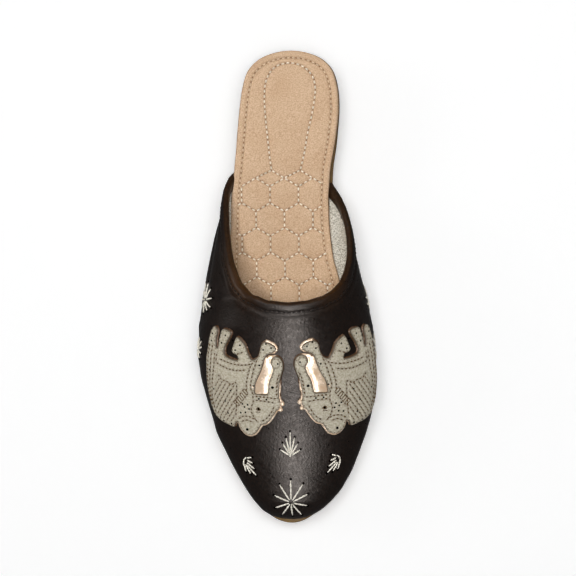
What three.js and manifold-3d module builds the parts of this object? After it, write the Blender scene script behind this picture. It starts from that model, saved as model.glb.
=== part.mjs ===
// A backless khussa for the right foot: a soft leather vamp with two short quarters, bound at the topline,
// a padded insole and a moulded sole with a low wedge heel. Two animal figures are applied to the vamp.
// Millimetres, +Z up, floor at z = 0. The toe points to -Y and the inner (medial) side of the foot is +X.
// A station s is measured along the shoe, from the heel (0) to the toe tip of the sole (LENGTH).
import * as THREE from "three";
import { mergeVertices } from "three/addons/utils/BufferGeometryUtils.js";
import Module from "manifold-3d";

// Driving dimensions
const LENGTH = 250;
const UPPER_TIP = 247.5;
const PLAN_SHIFT = 2.05;
const GAP = 0.3;
const MERGE = 1e-3;

const WALL = 1.8;
const SKIVED_WALL = 1.2;
const SKIVE_FROM = 12;
const SKIVE_TO = 18;
const FEATHER_INSET = 1;
const FEATHER_SHARE = 0.95;
const TURN_UNDER = THREE.MathUtils.degToRad(62);
const GIRTH_PHI = 0.72;
const VAMP_POWER = 1.15;

const LIP_HEIGHT = 2.8;
const LIP_EDGE = 0.5;
const SOLE_EDGE = 0.8;
const LIFT_GROOVE = { depth: 0.6, from: 55, to: 100 };

const INSOLE_THICKNESS = 4;

const BINDING_GAP = 0.55;
const BINDING_LEATHER = 0.6;
const BINDING_OUTER = 5;
const BINDING_INNER = 4;
const BINDING_FROM = 4;
const BINDING_ROUND = 0.6;
const BINDING_SHOULDER = 1.6;
const BINDING_CROWN = 0.2;
const BINDING_BEVEL = 0.8;
const BINDING_RELIEF = 0.05;

const BACKING = { from: 0.35, to: 0.85 };
const FIGURE = { from: 1.2, to: 2 };
const BACKING_MARGIN = 0.4;
const FIGURE_GRID = 5;

const PANEL_DEPTH = 0.9;
const PANEL_BORDER = 5;
const SHANK_BORDER = 9;
const PANEL_ROWS = 10;

// Half widths of the sole's rim to each side of the long axis
const SOLE_RIM = [
  { s: 0, lateral: 0, medial: 0 },
  { s: 4, lateral: 16.6, medial: 16 },
  { s: 10, lateral: 23.2, medial: 22.2 },
  { s: 20, lateral: 26.1, medial: 25 },
  { s: 30, lateral: 27.3, medial: 25.4 },
  { s: 45, lateral: 28.7, medial: 24.3 },
  { s: 60, lateral: 30, medial: 22 },
  { s: 75, lateral: 30.3, medial: 21.2 },
  { s: 90, lateral: 30.2, medial: 21.6 },
  { s: 107, lateral: 30.6, medial: 23.2 },
  { s: 121, lateral: 31.6, medial: 26.8 },
  { s: 136, lateral: 33.6, medial: 30.4 },
  { s: 148, lateral: 36.6, medial: 33.6 },
  { s: 160, lateral: 40.2, medial: 36.6 },
  { s: 172, lateral: 41.8, medial: 38.2 },
  { s: 184, lateral: 41.6, medial: 38.8 },
  { s: 201, lateral: 38, medial: 37.4 },
  { s: 213, lateral: 34, medial: 34.6 },
  { s: 225, lateral: 28.5, medial: 29.4 },
  { s: 237, lateral: 21.2, medial: 22.4 },
  { s: 243, lateral: 16.2, medial: 17 },
  { s: LENGTH, lateral: 0, medial: 0 },
];

// Heights of the sole: flat under heel and forefoot, an arch between them and a sprung toe
const SOLE_HEIGHT = [
  { s: 0, bottom: 0, top: 25 },
  { s: 30, bottom: 0, top: 24.6 },
  { s: 58, bottom: 0, top: 23 },
  { s: 75, bottom: 1.6, top: 20.6 },
  { s: 95, bottom: 2.6, top: 17 },
  { s: 115, bottom: 1.8, top: 13.2 },
  { s: 135, bottom: 0.3, top: 10.2 },
  { s: 150, bottom: 0, top: 8.6 },
  { s: 170, bottom: 0, top: 8 },
  { s: 195, bottom: 0, top: 8 },
  { s: 210, bottom: 0.8, top: 8.6 },
  { s: 225, bottom: 2.6, top: 10 },
  { s: 240, bottom: 5.6, top: 12.4 },
  { s: LENGTH, bottom: 8.4, top: 14.6 },
];

// How far the sole's wall draws in from the rim to the ground
const SOLE_TAPER = [
  { s: 0, taper: 8 },
  { s: 25, taper: 6 },
  { s: 60, taper: 5.4 },
  { s: 110, taper: 5 },
  { s: 160, taper: 4.4 },
  { s: LENGTH, taper: 4.6 },
];

// Levels of the sole's wall: share of the height under the lip, share of the taper, depth of the lift groove
const SOLE_WALL = [
  { rise: 0.05, inset: 1, groove: 0 },
  { rise: 0.16, inset: 0.94, groove: 0 },
  { rise: 0.18, inset: 0.93, groove: 1 },
  { rise: 0.21, inset: 0.91, groove: 0 },
  { rise: 0.6, inset: 0.46, groove: 0 },
  { rise: 1, inset: 0.24, groove: 0 },
];

// Half girths of the upper, their heights over the sole and the height of its ridge
const UPPER = [
  { s: 60, lateral: 31, medial: 22, lateralRise: 4, medialRise: 5, ridge: 12 },
  { s: 70, lateral: 34, medial: 23.6, lateralRise: 6, medialRise: 9, ridge: 17 },
  { s: 85, lateral: 37.6, medial: 28.4, lateralRise: 9, medialRise: 14, ridge: 26 },
  { s: 100, lateral: 41, medial: 32, lateralRise: 12, medialRise: 17, ridge: 34 },
  { s: 115, lateral: 44, medial: 35.2, lateralRise: 14, medialRise: 17.5, ridge: 41 },
  { s: 130, lateral: 46.8, medial: 38.6, lateralRise: 15, medialRise: 17, ridge: 46 },
  { s: 145, lateral: 49, medial: 41.6, lateralRise: 15, medialRise: 16, ridge: 46 },
  { s: 160, lateral: 49.4, medial: 43.8, lateralRise: 14.6, medialRise: 15, ridge: 43 },
  { s: 170, lateral: 48.6, medial: 44.4, lateralRise: 14, medialRise: 14.4, ridge: 40 },
  { s: 180, lateral: 46.6, medial: 44, lateralRise: 13.4, medialRise: 13.6, ridge: 36.6 },
  { s: 190, lateral: 44, medial: 42.4, lateralRise: 12.6, medialRise: 12.6, ridge: 33 },
  { s: 200, lateral: 41.4, medial: 39.8, lateralRise: 11.6, medialRise: 11.6, ridge: 29.6 },
  { s: 210, lateral: 36.8, medial: 36.2, lateralRise: 10.6, medialRise: 10.6, ridge: 26.4 },
  { s: 220, lateral: 31.8, medial: 32.2, lateralRise: 9.4, medialRise: 9.4, ridge: 23 },
  { s: 230, lateral: 26, medial: 27.6, lateralRise: 8, medialRise: 8, ridge: 19.4 },
  { s: 238, lateral: 20.6, medial: 22.4, lateralRise: 6.4, medialRise: 6.4, ridge: 15.6 },
  { s: 244, lateral: 15.2, medial: 15.8, lateralRise: 4.4, medialRise: 4.4, ridge: 10.6 },
  { s: UPPER_TIP, lateral: 0, medial: 0, lateralRise: 0, medialRise: 0, ridge: 0 },
];

// Topline: the station where the leather starts, for each place phi around the section, from ridge to feather
const COLLAR = [
  { phi: 0, lateral: 134, medial: 134 },
  { phi: 0.1, lateral: 132, medial: 132.6 },
  { phi: 0.19, lateral: 126.6, medial: 129.6 },
  { phi: 0.27, lateral: 118, medial: 125.6 },
  { phi: 0.35, lateral: 107.5, medial: 119.6 },
  { phi: 0.42, lateral: 96.5, medial: 113.2 },
  { phi: 0.5, lateral: 85, medial: 104.5 },
  { phi: 0.58, lateral: 77, medial: 94 },
  { phi: 0.66, lateral: 72.5, medial: 85 },
  { phi: 0.8, lateral: 69.4, medial: 76.6 },
  { phi: 1, lateral: 67.6, medial: 72 },
];

// How far the insole's edge lies inside the sole's rim
const INSOLE_INSET = [
  { s: 0, inset: 0.6 },
  { s: 46, inset: 0.6 },
  { s: 76, inset: 3 },
  { s: 225, inset: 3.3 },
  { s: 240, inset: 4.8 },
  { s: LENGTH, inset: 6.6 },
];

// Edge of the insole from its underside to its top: height and draw-in
const INSOLE_EDGE = [
  { height: 0, inset: 0.4 },
  { height: 0.4, inset: 0 },
  { height: 2.4, inset: 0 },
  { height: 3.4, inset: 0.5 },
  { height: INSOLE_THICKNESS, inset: 1.8 },
];

// Recessed panels of the tread: stations of each end at the lateral and the medial side, and the border
const TREAD_PANELS = [
  { fromLateral: 139.5, fromMedial: 139.5, toLateral: 176.5, toMedial: 163, border: PANEL_BORDER },
  { fromLateral: 179.5, fromMedial: 166, toLateral: 206, toMedial: 226, border: PANEL_BORDER },
  { fromLateral: 209, fromMedial: 229, toLateral: 238, toMedial: 240, border: PANEL_BORDER },
  { fromLateral: 61, fromMedial: 61, toLateral: 134, toMedial: 134, border: SHANK_BORDER },
];

// Grooves across the heel
const HEEL_GROOVES = [13, 18.4, 23.7, 28.4, 33, 38, 43, 48, 52.7];
const GROOVE_SHAPE = { width: 1.3, depth: 0.9, border: 3.2 };

// The step in front of the heel lift, cut right across and past both sides
const BREAST = 58.5;
const BREAST_SHAPE = { width: 1.6, depth: 1.2, border: -3 };

// Outline of an animal figure as cut from flat leather: distance from the ridge and station of each point
const FIGURE_OUTLINE = {
  dome: [[29.5, 194], [28.4, 198], [25.6, 201], [22.5, 202.2], [19, 201], [16.8, 197.5], [15.4, 195.8]],
  forehead: [[13.2, 195.6], [10.7, 193.5], [8.6, 190.5], [6.8, 187.6]],
  browKnobs: [[4.6, 187.4], [5.4, 185.9], [3.6, 184], [5.4, 182.4]],
  trunk: [[5.3, 176], [4.9, 172], [3.5, 167.5], [2.6, 164.5], [3, 161.2], [4.6, 159.3], [7, 158.6]],
  curl: [[9.3, 160], [9.9, 162.6], [8.4, 165]],
  cheek: [[9.2, 168.4], [11.1, 172], [12.2, 178.6], [17.8, 178.4], [17.9, 172.8], [14.8, 166.7]],
  foreLeg: [[12.8, 159.2], [11, 157.8], [8.6, 157.2], [6, 155.2], [7.2, 152.6], [10.5, 150.9]],
  foreFoot: [[13, 150.3], [15.2, 151.8], [16, 156.8], [17.1, 159.5], [19.6, 160.7], [21, 160.4]],
  raisedLeg: [[22.7, 157], [24.2, 152.7], [28.5, 148.7], [30, 149.3], [32, 154]],
  raisedKnee: [[32.8, 156.3], [31.4, 157.8]],
  belly: [[28.9, 158.6], [28.6, 161.2], [33, 160.3], [36.8, 158.8]],
  innerHindLeg: [[37.6, 156.8], [36.8, 153.8], [33.8, 149.5], [32.4, 147], [34, 145.6], [38, 144.7]],
  hindGap: [[39.4, 145.8], [40.8, 150], [41.6, 154.4], [42.8, 154.8], [43.2, 150.5]],
  outerHindLeg: [[41.8, 146.2], [42.8, 144], [45, 143.6], [47.2, 146], [48.6, 150], [49.4, 155]],
  rump: [[50.6, 160], [50.8, 168], [50.4, 176], [48.6, 184], [45.4, 191]],
  saddleCloth: [[40.8, 194.6], [36.3, 196.4], [32.2, 197.6], [31.4, 196]],
};
// Parts of the outline that the metallic backing fills in
const BACKING_FILLS = ["curl", "cheek"];

const wasm = await Module();
wasm.setup();

// A smooth curve through the rows of a table that never overshoots them. With power 2 it runs through the
// squares, so that a width that starts or ends at zero has a round end.
function curve(rows, key, column, power = 1) {
  const xs = rows.map((row) => row[key]);
  const ys = rows.map((row) => row[column] ** power);
  const steps = xs.slice(1).map((x, i) => x - xs[i]);
  const slopes = steps.map((step, i) => (ys[i + 1] - ys[i]) / step);
  const tangents = xs.map((_, i) => {
    if (i === 0 || i === xs.length - 1) return slopes[Math.min(i, slopes.length - 1)];
    if (slopes[i - 1] * slopes[i] <= 0) return 0;
    const before = 2 * steps[i] + steps[i - 1];
    const after = steps[i] + 2 * steps[i - 1];
    return (before + after) / (before / slopes[i - 1] + after / slopes[i]);
  });
  return (x) => {
    const at = THREE.MathUtils.clamp(x, xs[0], xs.at(-1));
    const i = Math.max(0, Math.min(xs.findLastIndex((value) => value <= at), slopes.length - 1));
    const t = (at - xs[i]) / steps[i];
    const bend = (slopes[i] - tangents[i]) * (1 - t) + (tangents[i + 1] - slopes[i]) * -t;
    const value = ys[i] + t * (slopes[i] * steps[i] - steps[i] * (1 - t) * bend);
    return Math.max(0, value) ** (1 / power);
  };
}

const rim = { lateral: curve(SOLE_RIM, "s", "lateral", 2), medial: curve(SOLE_RIM, "s", "medial", 2) };
const soleBottom = curve(SOLE_HEIGHT, "s", "bottom");
const soleTop = curve(SOLE_HEIGHT, "s", "top");
const soleTaper = curve(SOLE_TAPER, "s", "taper");
const girth = { lateral: curve(UPPER, "s", "lateral", 2), medial: curve(UPPER, "s", "medial", 2) };
const girthRise = {
  lateral: curve(UPPER, "s", "lateralRise", 2),
  medial: curve(UPPER, "s", "medialRise", 2),
};
const ridgeRise = curve(UPPER, "s", "ridge", 2);
const collar = { lateral: curve(COLLAR, "phi", "lateral"), medial: curve(COLLAR, "phi", "medial") };
const insoleInset = curve(INSOLE_INSET, "s", "inset");

const placed = (x, s, z) => new THREE.Vector3(x, LENGTH / 2 - s, z);
const sideOf = (phi) => (phi < 0 ? "lateral" : "medial");

// Closed surface from rows of points that run the same way round; the caps are ladders between the two sides
function skinRings(rings) {
  const count = rings[0].length;
  const half = count / 2;
  const at = (ring, i) => ring * count + ((i + count) % count);
  const index = [];
  for (let ring = 0; ring + 1 < rings.length; ring++) {
    for (let i = 0; i < count; i++) {
      index.push(at(ring, i), at(ring + 1, i), at(ring + 1, i + 1));
      index.push(at(ring, i), at(ring + 1, i + 1), at(ring, i + 1));
    }
  }
  const last = rings.length - 1;
  for (let i = 0; i < half; i++) {
    const quad = [i, i + 1, count - i - 1, count - i].map((k) => k % count);
    const corners = [[0, 1, 2], [0, 2, 3]];
    for (const [a, b, c] of corners) {
      const used = new Set([quad[a], quad[b], quad[c]]);
      if (used.size < 3) continue;
      index.push(at(0, quad[a]), at(0, quad[b]), at(0, quad[c]));
      index.push(at(last, quad[a]), at(last, quad[c]), at(last, quad[b]));
    }
  }
  return indexed(rings.flat(), index);
}

function indexed(points, index) {
  const geometry = new THREE.BufferGeometry();
  geometry.setAttribute("position", new THREE.Float32BufferAttribute(points.flatMap((p) => p.toArray()), 3));
  geometry.setIndex(index);
  return mergeVertices(geometry, MERGE);
}

// Booleans
function solid(geometry) {
  const bare = geometry.clone();
  bare.deleteAttribute("normal");
  bare.deleteAttribute("uv");
  const merged = mergeVertices(bare, MERGE);
  const vertProperties = new Float32Array(merged.attributes.position.array);
  const triVerts = new Uint32Array(merged.index.array);
  return new wasm.Manifold(new wasm.Mesh({ numProp: 3, vertProperties, triVerts }));
}

function fromSolid(manifold) {
  const mesh = manifold.getMesh();
  const geometry = new THREE.BufferGeometry();
  geometry.setAttribute("position", new THREE.BufferAttribute(new Float32Array(mesh.vertProperties), 3));
  geometry.setIndex(new THREE.BufferAttribute(new Uint32Array(mesh.triVerts), 1));
  return geometry;
}

// Outlines in plan, from the heel along the medial side to the toe and back along the lateral side
const LOOP_POINTS = 72;

function rimLoop() {
  const loop = [];
  for (let i = 0; i < LOOP_POINTS; i++) {
    const turn = (i / LOOP_POINTS) * 2 * Math.PI;
    const s = (LENGTH / 2) * (1 - Math.cos(turn));
    const side = i <= LOOP_POINTS / 2 ? "medial" : "lateral";
    loop.push({ s, x: (side === "medial" ? 1 : -1) * rim[side](s) });
  }
  return loop;
}

function insetLoop(loop, distance) {
  return loop.map((point, i) => {
    const next = loop[(i + 1) % loop.length];
    const previous = loop[(i + loop.length - 1) % loop.length];
    const run = Math.hypot(next.s - previous.s, next.x - previous.x);
    const d = distance(point.s) / run;
    return { s: point.s + (next.x - previous.x) * d, x: point.x - (next.s - previous.s) * d };
  });
}

const rise = (loop, height) => loop.map((point) => placed(point.x, point.s, height(point.s)));

function soleWith(loop, inset, height) {
  return rise(insetLoop(loop, inset), height);
}

// Outsole
function outsole() {
  const loop = rimLoop();
  const { smoothstep } = THREE.MathUtils;
  const grooveDepth = (s) => LIFT_GROOVE.depth * (1 - smoothstep(s, LIFT_GROOVE.from, LIFT_GROOVE.to));
  const wallHeight = (s) => soleTop(s) - LIP_HEIGHT - soleBottom(s);
  const rings = [soleWith(loop, (s) => soleTaper(s) + SOLE_EDGE, soleBottom)];
  for (const level of SOLE_WALL) {
    const inset = (s) => soleTaper(s) * level.inset + level.groove * grooveDepth(s);
    rings.push(soleWith(loop, inset, (s) => soleBottom(s) + level.rise * wallHeight(s)));
  }
  rings.push(soleWith(loop, () => 0, (s) => soleTop(s) - LIP_HEIGHT + LIP_EDGE));
  rings.push(soleWith(loop, () => 0, (s) => soleTop(s) - LIP_EDGE));
  rings.push(soleWith(loop, () => LIP_EDGE, soleTop));
  let body = solid(skinRings(rings));
  for (const panel of TREAD_PANELS) body = body.subtract(solid(panelCutter(panel)));
  for (const s of HEEL_GROOVES) body = body.subtract(solid(barCutter(s, GROOVE_SHAPE)));
  body = body.subtract(solid(barCutter(BREAST, BREAST_SHAPE)));
  return fromSolid(body);
}

// Half width of the tread at a station, less a border
function treadHalf(side, s, border) {
  return rim[side](s) - soleTaper(s) - border;
}

function panelCutter({ fromLateral, fromMedial, toLateral, toMedial, border }) {
  const medial = [];
  const lateral = [];
  for (let i = 0; i <= PANEL_ROWS; i++) {
    const sMedial = THREE.MathUtils.lerp(fromMedial, toMedial, i / PANEL_ROWS);
    const sLateral = THREE.MathUtils.lerp(fromLateral, toLateral, i / PANEL_ROWS);
    medial.push({ s: sMedial, x: treadHalf("medial", sMedial, border) });
    lateral.push({ s: sLateral, x: -treadHalf("lateral", sLateral, border) });
  }
  const loop = [...medial, ...lateral.reverse()];
  const below = loop.map((point) => placed(point.x, point.s, -PANEL_DEPTH));
  return skinRings([below, rise(loop, (s) => soleBottom(s) + PANEL_DEPTH)]);
}

function barCutter(s, { width, depth, border }) {
  const lateral = treadHalf("lateral", s, border);
  const medial = treadHalf("medial", s, border);
  const bar = new THREE.BoxGeometry(lateral + medial, width, 2 * depth);
  const at = placed((medial - lateral) / 2, s, 0);
  return bar.translate(at.x, at.y, at.z);
}

// Upper: a point of the outer face at a station and a place phi around the section, -1 lateral to 1 medial
function upperPoint(s, phi) {
  const side = sideOf(phi);
  const sign = phi < 0 ? -1 : 1;
  const around = Math.abs(phi);
  const wide = girth[side](s);
  const base = soleTop(s) + GAP;
  const level = base + girthRise[side](s);
  if (around <= GIRTH_PHI) {
    const turn = (around / GIRTH_PHI) * (Math.PI / 2);
    const high = base + ridgeRise(s);
    const drop = Math.max(0, Math.cos(turn)) ** VAMP_POWER;
    return placed(sign * wide * Math.sin(turn), s, level + (high - level) * drop);
  }
  const foot = Math.min(rim[side](s) - FEATHER_INSET, wide * FEATHER_SHARE);
  const turn = ((around - GIRTH_PHI) / (1 - GIRTH_PHI)) * TURN_UNDER;
  const share = (Math.cos(turn) - Math.cos(TURN_UNDER)) / (1 - Math.cos(TURN_UNDER));
  const down = Math.sin(turn) / Math.sin(TURN_UNDER);
  return placed(sign * (foot + (wide - foot) * share), s, level - (level - base) * down);
}

function upperSlopes(s, phi) {
  const near = 0.01;
  const here = Math.min(s, UPPER_TIP - 2 * near);
  const alongFrom = upperPoint(here - near, phi);
  const along = upperPoint(here + near, phi).sub(alongFrom).divideScalar(2 * near);
  const aroundFrom = upperPoint(here, Math.max(-1, phi - near));
  const aroundTo = upperPoint(here, Math.min(1, phi + near));
  const step = Math.min(1, phi + near) - Math.max(-1, phi - near);
  const around = aroundTo.sub(aroundFrom).divideScalar(step);
  return { along, around };
}

function upperNormal(s, phi) {
  const { along, around } = upperSlopes(s, phi);
  return new THREE.Vector3().crossVectors(along, around).normalize();
}

function upperOffset(s, phi, distance) {
  return upperPoint(s, phi).addScaledVector(upperNormal(s, phi), distance);
}

function wallAt(s, phi) {
  const fromCollar = s - collar[sideOf(phi)](Math.abs(phi));
  const share = THREE.MathUtils.smoothstep(fromCollar, SKIVE_FROM, SKIVE_TO);
  return THREE.MathUtils.lerp(SKIVED_WALL, WALL, share);
}

// The leather as a sheet: columns around the section, rows from the topline to the toe
const UPPER_COLUMNS = 56;
const UPPER_ROWS = 19;
const ROW_POWER = 1.35;
const columnPhi = (column) => (2 * column) / UPPER_COLUMNS - 1;
const rowShare = (row) => Math.sin((row / UPPER_ROWS) ** ROW_POWER * (Math.PI / 2));

function upper() {
  const outer = [];
  const inner = [];
  for (let row = 0; row <= UPPER_ROWS; row++) {
    for (let column = 0; column <= UPPER_COLUMNS; column++) {
      const phi = columnPhi(column);
      const start = collar[sideOf(phi)](Math.abs(phi));
      const s = start + (UPPER_TIP - start) * rowShare(row);
      const end = row === UPPER_ROWS;
      outer.push(upperPoint(s, end ? 0 : phi));
      inner.push(upperOffset(s, end ? 0 : phi, -wallAt(s, phi)));
    }
  }
  return sheetSolid(outer, inner, UPPER_COLUMNS + 1, UPPER_ROWS + 1);
}

// Closed wall between two equal grids of points
function sheetSolid(outer, inner, columns, rows) {
  const index = [];
  const inside = outer.length;
  const quad = (a, b, c, d) => index.push(a, b, c, a, c, d);
  const at = (row, column) => row * columns + column;
  for (let row = 0; row + 1 < rows; row++) {
    for (let column = 0; column + 1 < columns; column++) {
      const corners = [at(row, column), at(row + 1, column), at(row + 1, column + 1), at(row, column + 1)];
      quad(...corners);
      quad(...corners.map((i) => inside + i).reverse());
    }
    quad(at(row + 1, 0), at(row, 0), inside + at(row, 0), inside + at(row + 1, 0));
    const last = columns - 1;
    quad(at(row, last), at(row + 1, last), inside + at(row + 1, last), inside + at(row, last));
  }
  for (let column = 0; column + 1 < columns; column++) {
    quad(at(0, column), at(0, column + 1), inside + at(0, column + 1), inside + at(0, column));
  }
  return closedOnly(indexed([...outer, ...inner], index));
}

// Leaves out the triangles that fold to a line where a row ends in one point
function closedOnly(geometry) {
  const index = Array.from(geometry.index.array);
  const kept = [];
  for (let i = 0; i < index.length; i += 3) {
    const [a, b, c] = index.slice(i, i + 3);
    if (a !== b && b !== c && a !== c) kept.push(a, b, c);
  }
  geometry.setIndex(kept);
  return geometry;
}

// Topline binding: a folded strip around the collar edge. Each row of the section gives the way down the
// leather from its edge and the way out from its outer face.
const foldOuter = BINDING_GAP + BINDING_LEATHER;
const foldInner = -SKIVED_WALL - BINDING_GAP - BINDING_LEATHER;
const roundOuter = BINDING_GAP + BINDING_LEATHER * BINDING_ROUND;
const roundInner = -SKIVED_WALL - BINDING_GAP - BINDING_LEATHER * BINDING_ROUND;
const BINDING_SECTION = [
  { down: BINDING_OUTER, out: BINDING_GAP },
  { down: BINDING_OUTER, out: roundOuter },
  { down: BINDING_OUTER - BINDING_BEVEL, out: foldOuter },
  { down: BINDING_SHOULDER, out: foldOuter },
  { down: -BINDING_GAP - BINDING_CROWN, out: roundOuter },
  { down: -BINDING_GAP - BINDING_LEATHER, out: -SKIVED_WALL / 2 },
  { down: -BINDING_GAP - BINDING_CROWN, out: roundInner },
  { down: BINDING_SHOULDER, out: foldInner },
  { down: BINDING_INNER, out: foldInner },
  { down: BINDING_INNER, out: -SKIVED_WALL - BINDING_GAP },
  { down: BINDING_SHOULDER, out: -SKIVED_WALL - BINDING_GAP - BINDING_RELIEF },
  { down: -BINDING_GAP, out: -SKIVED_WALL - BINDING_GAP },
  { down: -BINDING_GAP, out: BINDING_GAP },
  { down: BINDING_SHOULDER, out: BINDING_GAP + BINDING_RELIEF },
];

// Walks over the leather from the topline, square to it, by a given distance
function fromTopline(phi, down, out) {
  let s = collar[sideOf(phi)](Math.abs(phi));
  let place = phi;
  const near = 0.004;
  const edge = (at) => upperPoint(collar[sideOf(at)](Math.abs(at)), at);
  const tangent = edge(phi + near).sub(edge(phi - near)).normalize();
  const normal = upperNormal(s, phi);
  const away = new THREE.Vector3().crossVectors(tangent, normal).normalize();
  if (down < 0) return upperPoint(s, phi).addScaledVector(away, down).addScaledVector(normal, out);
  const hops = 4;
  for (let hop = 0; hop < hops; hop++) {
    const { along, around } = upperSlopes(s, place);
    const aa = along.dot(along);
    const ab = along.dot(around);
    const bb = around.dot(around);
    const det = aa * bb - ab * ab;
    const toS = along.dot(away);
    const toPhi = around.dot(away);
    s += ((bb * toS - ab * toPhi) / det) * (down / hops);
    place += ((aa * toPhi - ab * toS) / det) * (down / hops);
  }
  return upperOffset(s, place, out);
}

function toplineBinding() {
  const rows = [];
  for (let column = BINDING_FROM; column <= UPPER_COLUMNS - BINDING_FROM; column++) {
    rows.push(BINDING_SECTION.map(({ down, out }) => fromTopline(columnPhi(column), down, out)));
  }
  return sweptRows(rows);
}

// Closed solid through like rings of points, with flat ends
function sweptRows(rows) {
  const count = rows[0].length;
  const index = [];
  const at = (row, i) => row * count + (i % count);
  for (let row = 0; row + 1 < rows.length; row++) {
    for (let i = 0; i < count; i++) {
      index.push(at(row, i), at(row + 1, i + 1), at(row, i + 1));
      index.push(at(row, i), at(row + 1, i), at(row + 1, i + 1));
    }
  }
  const flat = BINDING_SECTION.map(({ down, out }) => new THREE.Vector2(down, out));
  for (const [a, b, c] of THREE.ShapeUtils.triangulateShape(flat, [])) {
    index.push(at(0, a), at(0, b), at(0, c));
    index.push(at(rows.length - 1, a), at(rows.length - 1, c), at(rows.length - 1, b));
  }
  return indexed(rows.flat(), index);
}

// Insole
function insole() {
  const loop = insetLoop(rimLoop(), insoleInset);
  const rings = INSOLE_EDGE.map(({ height, inset }) => (
    soleWith(loop, () => inset, (s) => soleTop(s) + GAP + height)
  ));
  return skinRings(rings);
}

// Animal figures, laid flat on the leather: distance q from the ridge, station s and height over the leather
function phiAt(s, q, sign) {
  const step = 0.01;
  let before = upperPoint(s, 0);
  let run = 0;
  for (let phi = step; phi < 1; phi += step) {
    const here = upperPoint(s, sign * phi);
    const length = here.distanceTo(before);
    if (run + length >= q) return sign * (phi - step + (step * (q - run)) / length);
    run += length;
    before = here;
  }
  return sign;
}

function grown(points, margin) {
  const turnsLeft = THREE.ShapeUtils.isClockWise(points) ? -1 : 1;
  return points.map((point, i) => {
    const next = points[(i + 1) % points.length];
    const previous = points[(i + points.length - 1) % points.length];
    const out = new THREE.Vector2(next.y - previous.y, previous.x - next.x).normalize();
    return point.clone().addScaledVector(out, margin * turnsLeft);
  });
}

// A slab with enough points to bend; it is dimpled a little so that the cut keeps them
function flatGrid(box, thickness) {
  const size = box.getSize(new THREE.Vector2()).addScalar(2 * FIGURE_GRID);
  const middle = box.getCenter(new THREE.Vector2());
  const columns = Math.round(size.x / FIGURE_GRID);
  const rows = Math.round(size.y / FIGURE_GRID);
  const slab = new THREE.BoxGeometry(size.x, size.y, thickness, columns, rows, 1);
  const position = slab.attributes.position;
  for (let i = 0; i < position.count; i++) {
    const column = Math.round((position.getX(i) / size.x + 0.5) * columns);
    const row = Math.round((position.getY(i) / size.y + 0.5) * rows);
    const dimple = (thickness / 10) * ((column * 2 + row * 3) % 5) / 5;
    position.setZ(i, position.getZ(i) * (1 - dimple));
  }
  return slab.translate(middle.x, middle.y, 0);
}

function figureLayer(points, layer, sign) {
  const thickness = layer.to - layer.from;
  const shape = new THREE.Shape(points);
  const prism = new THREE.ExtrudeGeometry(shape, { depth: 2 * thickness, bevelEnabled: false });
  prism.translate(0, 0, -thickness);
  const box = new THREE.Box2().setFromPoints(points);
  const geometry = fromSolid(solid(flatGrid(box, thickness)).intersect(solid(prism)));
  const position = geometry.attributes.position;
  for (let i = 0; i < position.count; i++) {
    const s = position.getY(i);
    const phi = phiAt(s, position.getX(i), sign);
    const point = upperOffset(s, phi, position.getZ(i) < 0 ? layer.from : layer.to);
    position.setXYZ(i, point.x, point.y, point.z);
  }
  if (sign > 0) geometry.setIndex(Array.from(geometry.index.array).reverse());
  return closedOnly(mergeVertices(geometry, MERGE));
}

function figureOutline(leftOut = []) {
  const kept = Object.entries(FIGURE_OUTLINE).filter(([name]) => !leftOut.includes(name));
  return kept.flatMap(([, points]) => points.map(([q, s]) => new THREE.Vector2(q, s)));
}

// Materials
function finish(color, roughness, metalness = 0) {
  return new THREE.MeshStandardMaterial({ color, roughness, metalness });
}

const LEATHER = finish(0x2b211d, 0.5);
const BINDING = finish(0x2d1d10, 0.5);
const QUILT = finish(0xd2b391, 0.8);
const SOLE = finish(0x6f5428, 0.55);
const ROSE_GOLD = finish(0xe0bfa2, 0.3, 0.8);
const GREIGE = finish(0xafa999, 0.6);

const shoe = new THREE.Group();

function piece(name, geometry, material) {
  geometry.computeVertexNormals();
  const mesh = new THREE.Mesh(geometry, material);
  mesh.name = name;
  shoe.add(mesh);
}

piece("outsole", outsole(), SOLE);
piece("upper", upper(), LEATHER);
piece("topline_binding", toplineBinding(), BINDING);
piece("insole", insole(), QUILT);

for (const [side, sign] of [["lateral", -1], ["medial", 1]]) {
  const backing = grown(figureOutline(BACKING_FILLS), BACKING_MARGIN);
  piece(`applique_backing_${side}`, figureLayer(backing, BACKING, sign), ROSE_GOLD);
  piece(`applique_${side}`, figureLayer(figureOutline(), FIGURE, sign), GREIGE);
}

shoe.position.x = PLAN_SHIFT;

export default shoe;
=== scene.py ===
"""Looks of a backless khussa for the right foot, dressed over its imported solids."""

import math

import bmesh
import bpy
import numpy as np
from mathutils import Matrix, Vector


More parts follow.
